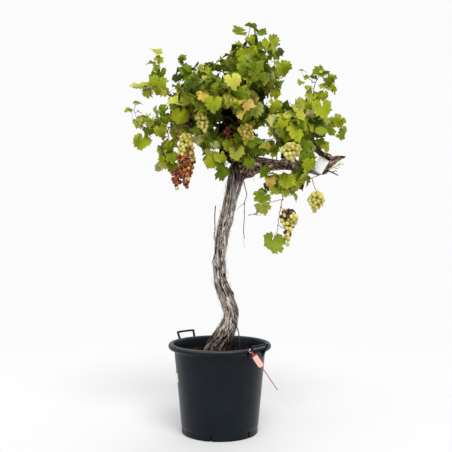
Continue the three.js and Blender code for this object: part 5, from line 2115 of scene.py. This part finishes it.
PALE_ONLY = (0.98, 0.02, 0.0, 0.0, 0.0)
BUNCHES = (
    Bunch("leaves_right_front", (0.5, 0.2, -0.4), 0.078, 0.096, PALE_ONLY, PALE_ONLY, berry=0.0226),
    Bunch("leaves_under_arm", (1.14, 0.5, 0.0), 0.092, 0.084, PALE_ONLY, (0.8, 0.2, 0, 0, 0), berry=0.0222,
          lean=(-0.16, 0.0, -1.0)),
    Bunch("leaves_under_arm", (0.56, 0.3, -0.7), 0.108, 0.092, (0.2, 0.0, 0, 0.2, 0.6),
          (0.86, 0.04, 0, 0.05, 0.05), 0.34),
    Bunch("leaves_under_arm", (0.54, 0.3, -1.4), 0.082, 0.048, (0.6, 0.1, 0, 0.1, 0.2), PALE_ONLY, 0.5),
    Bunch("leaves_left_low", (1.4, 0.1, 1.0), 0.262, 0.092, (0.97, 0.03, 0, 0, 0),
          (0.06, 0.10, 0.5, 0.34, 0), 0.42),
    Bunch("leaves_left_low", (1.0, 0.3, 0.1), 0.106, 0.056, (0.0, 0.0, 0.4, 0.6, 0),
          (0.5, 0.1, 0.2, 0.2, 0), 0.75),
    Bunch("leaves_left_under", (0.8, -0.4, 1.2), 0.086, 0.068, PALE_ONLY, PALE_ONLY, lean=(0.25, -0.1, -1.0)),
    Bunch("leaves_fork", (0.4, 0.0, 1.2), 0.070, 0.070, (0.5, 0.5, 0, 0, 0), (0.4, 0.6, 0, 0, 0)),
    Bunch("leaves_fork_left", (0.9, 0.1, 1.0), 0.046, 0.044, (0, 0, 0, 1, 0), (0, 0, 0, 1, 0)),
    Bunch("leaves_left_back", (0.3, 0.8, 0.1), 0.180, 0.092, (0.75, 0.25, 0, 0, 0),
          (0.1, 0.1, 0.5, 0.3, 0), 0.5),
    Bunch("leaves_middle_back", (0.55, 0.80, 0.06), 0.180, 0.090, PALE_ONLY, (0.4, 0.4, 0.2, 0, 0), 0.6),
    Bunch("leaves_right_back", (0.50, 0.80, 0.08), 0.170, 0.086, (0.5, 0.2, 0, 0.1, 0.2),
          (0.1, 0.1, 0.1, 0.2, 0.5), 0.5),
    Bunch("leaves_left_back", (0.10, 0.35, 0.05), 0.120, 0.070, PALE_ONLY, PALE_ONLY),
)


@dataclass
class Harvest:
    """All the bunches, with their stalks and frames."""

    seed: int = 41
    rings: int = 6
    sides: int = 8
    crowding: float = 0.80
    draws: int = 4200
    in_skin: float = 0.7
    stretch: float = 1.08
    stem_radius: float = 0.0007
    outline: tuple[tuple[float, float], ...] = (
        (0, 0.5), (0.10, 0.88), (0.28, 1.0), (0.5, 0.92), (0.72, 0.70), (0.9, 0.48), (1, 0.3))

    def make(self, wood: Array) -> None:
        """Build one piece of berries for each skin, and the stalks.

        Args:
            wood: Points that a bunch may hang from.
        """
        centres, axes, sizes, skins_of, stems = [], [], [], [], []
        for number, bunch in enumerate(BUNCHES):
            rng = np.random.default_rng(self.seed + number)
            spots, skin, size = self.pack(bunch, rng)
            centres.append(spots)
            outward = spots - bunch.on_line(spots) + bunch.down() * 0.02
            axes.append(unit(outward + rng.normal(0, 0.004, spots.shape)))
            sizes.append(size)
            skins_of.append(skin)
            stems.append(self.stems(bunch, spots, wood))
        spots, axis, size, skin = (np.concatenate(x) for x in (centres, axes, sizes, skins_of))
        for number, kind in enumerate(Skin):
            some = skin == number
            finish = BerrySkin(f"berry_{kind.name.lower()}", *(paint(*c) for c in kind.value)).material()
            self.berries(spots[some], axis[some], size[some], number).build(
                f"berries_{kind.name.lower()}", [finish], "grapes")
        green = CaneSkin("bunch_stalk", paint(164, 146, 70), paint(170, 104, 58)).material()
        Shape.joined(stems).build("bunch_stalks", [green], "cane")
        log.info("berries: %d", len(spots))

    def pack(self, bunch: Bunch, rng: np.random.Generator) -> tuple[Array, Array, Array]:
        """Crowd berries into the bunch's outline, from its skin inwards.

        The outline's radius follows the share of the way down: wide shoulders, then a
        long taper to the foot. A berry is kept where it is not closer to another than
        their crowding allows.

        Args:
            bunch: The bunch.
            rng: Its random numbers.

        Returns:
            The berries' centres, skin numbers and radii.
        """
        top, down = bunch.hook(), bunch.down()
        across = unit(np.cross(down, (0.0, 1.0, 0.0)))
        over = np.cross(down, across)
        share = rng.uniform(0, 1, self.draws)
        wide = np.interp(share, *zip(*self.outline))
        turn = rng.uniform(0, 2 * np.pi, self.draws)
        lump = 1 + 0.16 * np.sin(2 * turn + 9 * share + rng.uniform(0, 6)) * (share > 0.08)
        radius = bunch.width / 2 * wide * lump - bunch.berry / 2
        outer = np.arange(self.draws) < self.draws * self.in_skin
        out = radius * np.where(outer, rng.uniform(0.86, 1.06, self.draws), rng.uniform(0.0, 0.8, self.draws))
        drawn = (top + down * (share * bunch.length)[:, None]
                 + across * (out * np.cos(turn))[:, None] + over * (out * np.sin(turn))[:, None])
        size = bunch.berry / 2 * rng.uniform(0.82, 1.08, self.draws)
        kept = [0]
        for row in range(1, self.draws):
            gap = np.linalg.norm(drawn[kept] - drawn[row], axis=1)
            if np.all(gap > self.crowding * (size[kept] + size[row])):
                kept.append(row)
        blend = ease(share[kept] + rng.normal(0, 0.08, len(kept)), bunch.turn - 0.12, bunch.turn + 0.12)
        odds = np.array(bunch.top) * (1 - blend[:, None]) + np.array(bunch.foot) * blend[:, None]
        skin = (rng.random(len(kept))[:, None] > np.cumsum(odds / odds.sum(1, keepdims=True), 1)).sum(1)
        return drawn[kept], skin.clip(0, len(Skin) - 1), size[kept]

    def berries(self, spots: Array, axis: Array, size: Array, seed: int) -> Shape:
        """Turn each berry as a slightly long ball about its axis.

        A ring's point lies at the latitude's cosine across and its sine along the axis,
        times the berry's radius, and the way along the axis is a little more.

        Args:
            spots: The berries' middles.
            axis: The way that each one points.
            size: Their radii.
            seed: The seed of their tones.

        Returns:
            All the berries.
        """
        rng = np.random.default_rng(seed)
        latitude = np.linspace(-np.pi / 2, np.pi / 2, self.rings + 2)[1:-1]
        turn = bearings_round(self.sides)
        across = unit(np.cross(axis, (0.31, 0.62, 0.72)))
        over = np.cross(axis, across)
        ring = across[:, None] * np.cos(turn)[:, None] + over[:, None] * np.sin(turn)[:, None]
        flat = size[:, None, None, None] * np.cos(latitude)[:, None, None] * ring[:, None]
        tall = self.stretch * size[:, None, None, None]
        long = tall * np.sin(latitude)[:, None, None] * axis[:, None, None]
        grids = spots[:, None, None] + flat + long
        tone = np.broadcast_to(rng.beta(2, 2, len(spots))[:, None, None], grids.shape[:3])
        shape = skins(grids, {"tone": tone})
        body = self.rings * self.sides
        poles = np.arange(len(spots)) * (body + 2) + body
        shape.points[poles] = spots - self.stretch * size[:, None] * axis
        shape.points[poles + 1] = spots + self.stretch * size[:, None] * axis
        return shape

    def stems(self, bunch: Bunch, spots: Array, wood: Array) -> Shape:
        """Make the bunch's stalk, its middle rib and a short stem to every berry.

        The stalk runs as one curve from the nearest wood above, and a stem leaves the
        rib above its berry's level and slopes down to it.

        Args:
            bunch: The bunch.
            spots: Its berries' middles.
            wood: Points that it may hang from.

        Returns:
            The stalk, the rib and the stems.
        """
        top, down = bunch.hook(), bunch.down()
        above = wood[wood[:, 2] > top[2] + 0.012]
        source = above[np.argmin(np.linalg.norm(above - top, axis=1))]
        foot = top + down * bunch.length * 0.86
        middle = (source + top) / 2 - (0, 0, 0.15 * np.linalg.norm(source - top))
        path = flowing(np.stack([source, middle, top, (top + foot) / 2, foot]), 25)
        stalk = tubes(path, np.linspace(0.0016 + 0.006 * bunch.length, 0.0012, 25), 7)
        share = np.linspace(0, 1, 4)[None, :, None]
        near = bunch.on_line(spots)
        root = near - down * 0.35 * np.linalg.norm(spots - near, axis=1, keepdims=True)
        start = np.where(((root - top) @ down)[:, None] < 0, top, root)
        paths = start[:, None] * (1 - share) + spots[:, None] * share
        return Shape.joined([stalk, tubes(paths, self.stem_radius, 4)])


# ------------------------------------------------------------------ canes that have solids, and the labels
@dataclass(frozen=True)
class Switch:
    """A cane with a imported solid: its node and the axis it runs along."""

    node: str
    axis: int
    backwards: bool = False
    thin: float = 1.0
    steps: int = 73
    bud_gap: int = 9
    sway: float = 0.0016

    def tube(self) -> Shape:
        """Carry a round section along the cane, swollen at every bud."""
        spine = Spine.of_node(self.node, self.axis, (0.03, 0.02))
        spine = spine.reversed() if self.backwards else spine
        spine = spine.reaching(0.012, 0.004, 0.7).even(self.steps)
        step = np.arange(self.steps)
        bud = np.exp(-((step % self.bud_gap - self.bud_gap // 2) / 1.1) ** 2)
        sway = self.sway * np.sin(step[:, None] * (0.7, 0.5, 0.3) + (0.0, 1.0, 2.0))
        sway = sway * ease(step, 0, self.bud_gap)[:, None]
        return tubes(spine.points + sway, spine.radii * self.thin * (1 + 0.3 * bud), 10)


@dataclass(frozen=True)
class OldWood:
    """The trunk, the arms and limbs, their loose bark, and the canes that have solids."""

    cool: OldBark = OldBark("vine_bark")
    warm: OldBark = OldBark(
        "arm_bark", (paint(36, 24, 18), paint(110, 88, 72), paint(170, 148, 130), paint(216, 200, 186)),
        (paint(18, 11, 8), paint(56, 40, 30), paint(102, 80, 64), paint(158, 136, 116)))
    loose: tuple[Shreds, ...] = (
        Shreds(TRUNK, 300, 61, lift=0.006), Shreds(ARMS[0], 80, 62, (0.015, 0.055), 0.003),
        Shreds(ARMS[1], 26, 63, (0.012, 0.035), 0.0025), Shreds(ARMS[3], 40, 64, (0.015, 0.05), 0.003))
    hanging: tuple[Switch, ...] = (
        Switch("cane_hanging", 2, True, 0.6), Switch("cane_hanging_side", 0, True, 0.6))

    def make(self) -> None:
        """Build the wood, then the strips and strands on it, then the canes."""
        bark = self.cool.material()
        TRUNK.surface().build("trunk_bark", [bark], "bark", ["trunk"])
        warm = self.warm.material()
        for arm in ARMS:
            arm.surface().build(f"{arm.node}_bark", [warm], "bark", [arm.node])
        Shape.joined([lot.shape() for lot in self.loose]).build("bark_shreds", [bark], "bark")
        Shape.joined([strand.tube() for strand in STRANDS]).build("bark_strands", [bark], "bark")
        tan = CaneSkin("hard_cane", paint(128, 92, 60), paint(78, 50, 32), 0.6).material()
        Switch("cane_left", 2).tube().build("left_cane", [tan], "cane", ["cane_left"])
        green = CaneSkin("hanging_cane", paint(142, 138, 78), paint(126, 92, 56)).material()
        Shape.joined([cane.tube() for cane in self.hanging]).build(
            "hanging_canes", [green], "cane", [cane.node for cane in self.hanging])


@dataclass(frozen=True)
class PotSticker:
    """The blank sticker on the pot's wall, between two bearings in degrees."""

    node: str = "pot_sticker"
    bearings: tuple[float, float] = (169.3, 198.5)
    off_wall: float = 0.0006
    front: float = 0.0008
    back: float = -0.0002

    def make(self) -> None:
        """Bend a thin plate to the wall's own curve and slope, out one way and back the other."""
        low, high = (np.array(c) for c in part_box(self.node))
        height = np.linspace(low[2], high[2], 9)[:, None]
        slope = (Pot.neck_radius - Pot.step_radius) / (Pot.neck_height - Pot.step_height)
        wall = Pot.step_radius + slope * (height - Pot.step_height) + self.off_wall
        way = np.linspace(*self.bearings, 24)
        bearing = np.radians(np.concatenate([way, way[::-1]]))
        reach = wall + np.repeat([self.front, self.back], len(way))
        white = CardStock("sticker_paper", paint(240, 240, 236), paint(220, 220, 214)).material()
        skins(lathed(reach, bearing, height)[None]).build(
            "sticker_sheet", [white], "card", [self.node], crease=40)


@dataclass(frozen=True)
class PotTag:
    """The tie-on tag: a strap with a pale tip, a body with red shoulders, and a long tail."""

    node: str = "pot_tag"
    slope: float = 56.0
    tip: float = 0.017
    strap: tuple[float, float] = (0.019, 0.006)
    body: tuple[float, float] = (0.062, 0.026)
    tail: tuple[float, float] = (0.134, 0.0042)
    chamfer: float = 0.006
    shoulder: float = 0.006
    thickness: float = 0.0013
    bow: float = 0.0022
    curl: float = 0.006
    pale: float = 0.011
    loop_radius: float = 0.0080
    loop_gap: float = 0.25
    loop_thickness: float = 0.0012

    def make(self) -> None:
        """Build the plate and the loop that ties it."""
        pink = ThinPlastic("tag_pink", paint(246, 178, 168), paint(250, 206, 196)).material()
        red = ThinPlastic("tag_red", paint(150, 58, 58), paint(176, 92, 88)).material()
        pale = ThinPlastic("tag_tip", paint(226, 222, 214), paint(196, 186, 176)).material()
        self.plate().build("tag_plate", [pink, red, pale], "tag", [self.node], crease=40)
        self.loop().build("tag_loop", [pink], "tag")

    def place(self, along: Array, across: Array, lift: Array) -> Array:
        """Put points of the plate's own plan where the tag hangs.

        The plan's length runs down the slope from the handle's leg, and lift stands
        towards -Y. The body bows a little and the tail curls as its square.

        Args:
            along: The way down the tag's length, from the strap's start.
            across: The way across it.
            lift: The way out of its face.

        Returns:
            The points.
        """
        low, high = (np.array(c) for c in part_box(self.node))
        turn = math.radians(self.slope)
        reach = self.strap[0] + self.body[0] + self.tail[0]
        end = np.array([high[0] - 0.001, low[1] + 0.0014, low[2] + 0.001])
        run = np.array([math.cos(turn), 0.0, -math.sin(turn)])
        start = end - run * reach
        over = np.array([math.sin(turn), 0.0, math.cos(turn)])
        past = np.maximum(along - self.strap[0] - self.body[0], 0) / self.tail[0]
        bow = self.bow * (across / self.body[1] * 2) ** 2 + self.curl * past**2
        flat = start + along[..., None] * run + across[..., None] * over
        return flat + (lift - bow)[..., None] * np.array([0.0, -1.0, 0.0])

    def plate(self) -> Shape:
        """Build the plate as rings along its length, each a flat loop of its width.

        The half width steps out at the shoulders, keeps to the body, and is cut back by
        the chamfers before the tail.
        """
        strap, tail = self.strap, self.tail
        end, half_width = strap[0] + self.body[0], self.body[1] / 2
        stops = ((-self.tip, 0.0018), (-self.tip + 0.002, strap[1] / 2), (strap[0] - 0.001, strap[1] / 2),
                 (strap[0], half_width - 0.001), (strap[0] + 0.001, half_width),
                 (strap[0] + self.shoulder, half_width), (strap[0] + self.shoulder + 0.0005, half_width),
                 (end - self.chamfer, half_width), (end, half_width - self.chamfer),
                 (end + 0.0006, tail[1] / 2), (end + tail[0] - 0.002, tail[1] / 2 * 0.9),
                 (end + tail[0], 0.0008))
        marks = np.array([s[0] for s in stops])
        fine = np.unique(np.concatenate([marks, np.linspace(marks[0], marks[-1], 70)]))
        half = np.interp(fine, marks, [s[1] for s in stops])
        share = np.array([1.0, 0.92, 0.3, -0.3, -0.92, -1.0, -0.92, -0.3, 0.3, 0.92])
        side = np.array([0.0, 1, 1, 1, 1, 0.0, -1, -1, -1, -1]) * self.thickness / 2
        along = np.repeat(fine[:, None], len(share), 1)
        grid = self.place(along, half[:, None] * share, np.broadcast_to(side, along.shape))
        shape = skins(grid[None, :, ::-1])
        middle = (fine[:-1] + fine[1:]) / 2
        body = (middle > strap[0] + self.shoulder) & (middle < strap[0] + self.body[0])
        pale = middle < -self.tip + self.pale
        ink = np.where(pale, 2, np.where(body, 0, 1))
        shape.quad_ink = np.repeat(ink, len(share))
        shape.triangle_ink = np.where(np.arange(len(shape.triangles)) < len(share), 2, 0)
        return shape

    def loop(self) -> Shape:
        """Bend the strap's thin end round the handle's leg."""
        handle = Pot.handles[1]
        leg = handle.bearing - Pot.leg_turn
        foot = polar(Pot.foot_reach, leg, Pot.foot_height)
        knee = polar((Pot.foot_reach + handle.bar_reach) / 2, leg, (Pot.foot_height + handle.bar_height) / 2)
        up = unit(knee - foot)
        across = unit(np.cross(up, (0.0, 0.0, 1.0)))
        over = np.cross(up, across)
        turn = np.linspace(self.loop_gap, 2 * np.pi - self.loop_gap, 40)[:, None]
        middle = knee - unit(knee * (1, 1, 0)) * 0.001
        path = middle + self.loop_radius * (across * np.cos(turn) + over * np.sin(turn))
        return tubes(path, self.loop_thickness, 8, flat=1.5)


@dataclass(frozen=True)
class ArmCard:
    """The blank card that hangs on the arm's end, with a grey-blue strip along its foot: painted shade where
    its edge folds.
    """

    node: str = "arm_label"
    width: float = 0.052
    length: float = 0.084
    turn: float = 58.0
    tilt: float = 0.36
    thickness: float = 0.0008
    # The width of the grey-blue band of painted shade along the card's folded foot.
    strip: float = 0.007
    bow: float = 0.005
    ripple: float = 0.0015
    off_middle: float = 0.012
    wire_radius: float = 0.0009
    tie: tuple[Point, ...] = (
        (0.012, -0.010, 0.030), (0.016, -0.014, 0.040), (0.024, 0.006, 0.036), (0.030, 0.016, 0.014))

    def make(self) -> None:
        """Build the card and the wire that ties it."""
        white = CardStock("card_white", paint(228, 228, 224), paint(216, 218, 216)).material()
        # The grey-blue colour of the band along the foot is painted shade of the folded edge.
        blue = CardStock("card_painted_fold_shade", paint(120, 142, 160), paint(92, 112, 132)).material()
        self.card().build("arm_card", [white, blue], "card", [self.node], crease=40)
        low, high = (np.array(c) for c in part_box(self.node))
        middle = (low + high) / 2
        path = flowing(middle + np.array(self.tie), 24)
        wire = ThinPlastic("card_tie", paint(210, 212, 208), paint(160, 160, 152)).material()
        tubes(path, self.wire_radius, 7).build("arm_card_tie", [wire], "card")

    def card(self) -> Shape:
        """Bow a thin plate: its face stands out as the square of the way to each end."""
        low, high = (np.array(c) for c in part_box(self.node))
        middle = (low + high) / 2
        turn = math.radians(self.turn)
        run = np.array([math.cos(turn), 0.0, math.sin(turn)])
        over = np.array([-math.sin(turn), 0.0, math.cos(turn)])
        steps = np.linspace(-0.5, 0.5, 25)
        half = self.width / 2
        share = np.concatenate([np.linspace(1, -1, 11), np.linspace(-1, 1, 11)])
        side = np.repeat([1.0, -1.0], 11) * self.thickness / 2
        along, across = np.meshgrid(steps * self.length, share * half, indexing="ij")
        across = across * np.where(np.abs(along) > self.length / 2 - 0.0012, 0.96, 1.0)
        bow = self.bow * (along / self.length * 2) ** 2 + self.ripple * np.sin(along * 60) * across / half
        back = self.tilt * (along * run[2] + across * over[2] - self.length / 2)
        grid = (middle + along[..., None] * run + across[..., None] * over
                + (side - bow + self.off_middle - back)[..., None] * np.array([0.0, -1.0, 0.0]))
        shape = skins(grid[None, :, ::-1])
        row = np.repeat(np.arange(len(steps) - 1), len(share))
        shape.quad_ink = (row * self.length / (len(steps) - 1) < self.strip).astype(int)
        return shape


# ------------------------------------------------------------------ the studio
@dataclass(frozen=True)
class Studio:
    """A pale floor, soft light from all round, and a level camera in front."""

    lens: float = 57.09
    sensor: float = 36.0
    eye: Point = (0.0304, -3.5, 1.0)
    paper: Colour = (0.75, 0.75, 0.75)
    floor_radius: float = 3.4
    floor_height: float = -0.0006
    glow: float = 0.50
    backdrop: Colour = (0.965, 0.968, 0.966)
    suns: tuple[tuple[str, Point, float, float], ...] = (
        ("key", (0.35, -1.5, 2.0), 2.3, 36.0),
        ("fill", (-1.5, -1.6, 1.0), 0.7, 70.0),
        ("rim", (0.3, 1.6, 2.0), 0.7, 60.0))

    def camera(self) -> None:
        """Set the camera in front, level, looking along +Y."""
        data = bpy.data.cameras.new("camera")
        data.lens, data.sensor_width = self.lens, self.sensor
        camera = bpy.data.objects.new("camera", data)
        camera.location = self.eye
        camera.rotation_euler = (math.pi / 2, 0.0, 0.0)
        bpy.context.scene.collection.objects.link(camera)
        bpy.context.scene.camera = camera

    def floor(self) -> None:
        """Lay a disc of paper that fades out towards its rim."""
        sheet = Sheet("floor_paper")
        inner = sheet.length(sheet.place()).fade(self.floor_radius, self.floor_radius * 0.35)
        finish = sheet.finish(Base_Color=self.paper, Roughness=0.9, Specular_IOR_Level=0.1, Alpha=inner)
        turn = bearings_round(96)
        reach = np.linspace(0.05, self.floor_radius, 12)[::-1, None]
        shape = skins(lathed(reach, turn, self.floor_height)[None])
        mesh = bpy.data.meshes.new("floor")
        faces = [*shape.triangles[len(turn):].tolist(), *shape.quads.tolist()]
        mesh.from_pydata(shape.points.tolist(), [], faces)
        mesh.materials.append(finish)
        floor = bpy.data.objects.new("floor", mesh)
        bpy.context.scene.collection.objects.link(floor)

    def light(self) -> None:
        """Wrap the scene in soft white light, a little stronger from above and in front."""
        world = bpy.data.worlds.new("studio")
        world.use_nodes = True
        tree = world.node_tree
        glow = tree.nodes["Background"]
        glow.inputs["Color"].default_value = (1.0, 1.0, 1.0, 1.0)
        glow.inputs["Strength"].default_value = self.glow
        seen = tree.nodes.new("ShaderNodeBackground")
        seen.inputs["Color"].default_value = (*self.backdrop, 1.0)
        ray = tree.nodes.new("ShaderNodeLightPath")
        choose = tree.nodes.new("ShaderNodeMixShader")
        tree.links.new(ray.outputs["Is Camera Ray"], choose.inputs[0])
        tree.links.new(glow.outputs[0], choose.inputs[1])
        tree.links.new(seen.outputs[0], choose.inputs[2])
        tree.links.new(choose.outputs[0], tree.nodes["World Output"].inputs["Surface"])
        bpy.context.scene.world = world
        for name, heading, strength, spread in self.suns:
            self.sun(name, heading, strength, spread)
        bpy.context.scene.view_settings.view_transform = "Standard"

    @staticmethod
    def sun(name: str, heading: Point, strength: float, spread: float) -> None:
        """Add a broad lamp at infinity.

        Args:
            name: Its name.
            heading: The direction that it shines from.
            strength: Its strength.
            spread: How wide it looks, in degrees.
        """
        lamp = bpy.data.lights.new(name, "SUN")
        lamp.energy, lamp.angle = strength, math.radians(spread)
        holder = bpy.data.objects.new(name, lamp)
        holder.rotation_euler = Vector(heading).to_track_quat("Z", "Y").to_euler()
        bpy.context.scene.collection.objects.link(holder)


def main() -> None:
    """Build the plant, the pot and the studio."""
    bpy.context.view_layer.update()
    studio = Studio()
    studio.camera()
    studio.floor()
    studio.light()
    Pot().make()
    Mulch().make()
    PotTag().make()
    PotSticker().make()
    OldWood().make()
    ArmCard().make()
    crown = Crown()
    crown.make()
    Harvest().make(crown.roots())


if __name__ == "__main__":
    logging.basicConfig(level=logging.INFO, format="%(name)s: %(message)s")
    main()
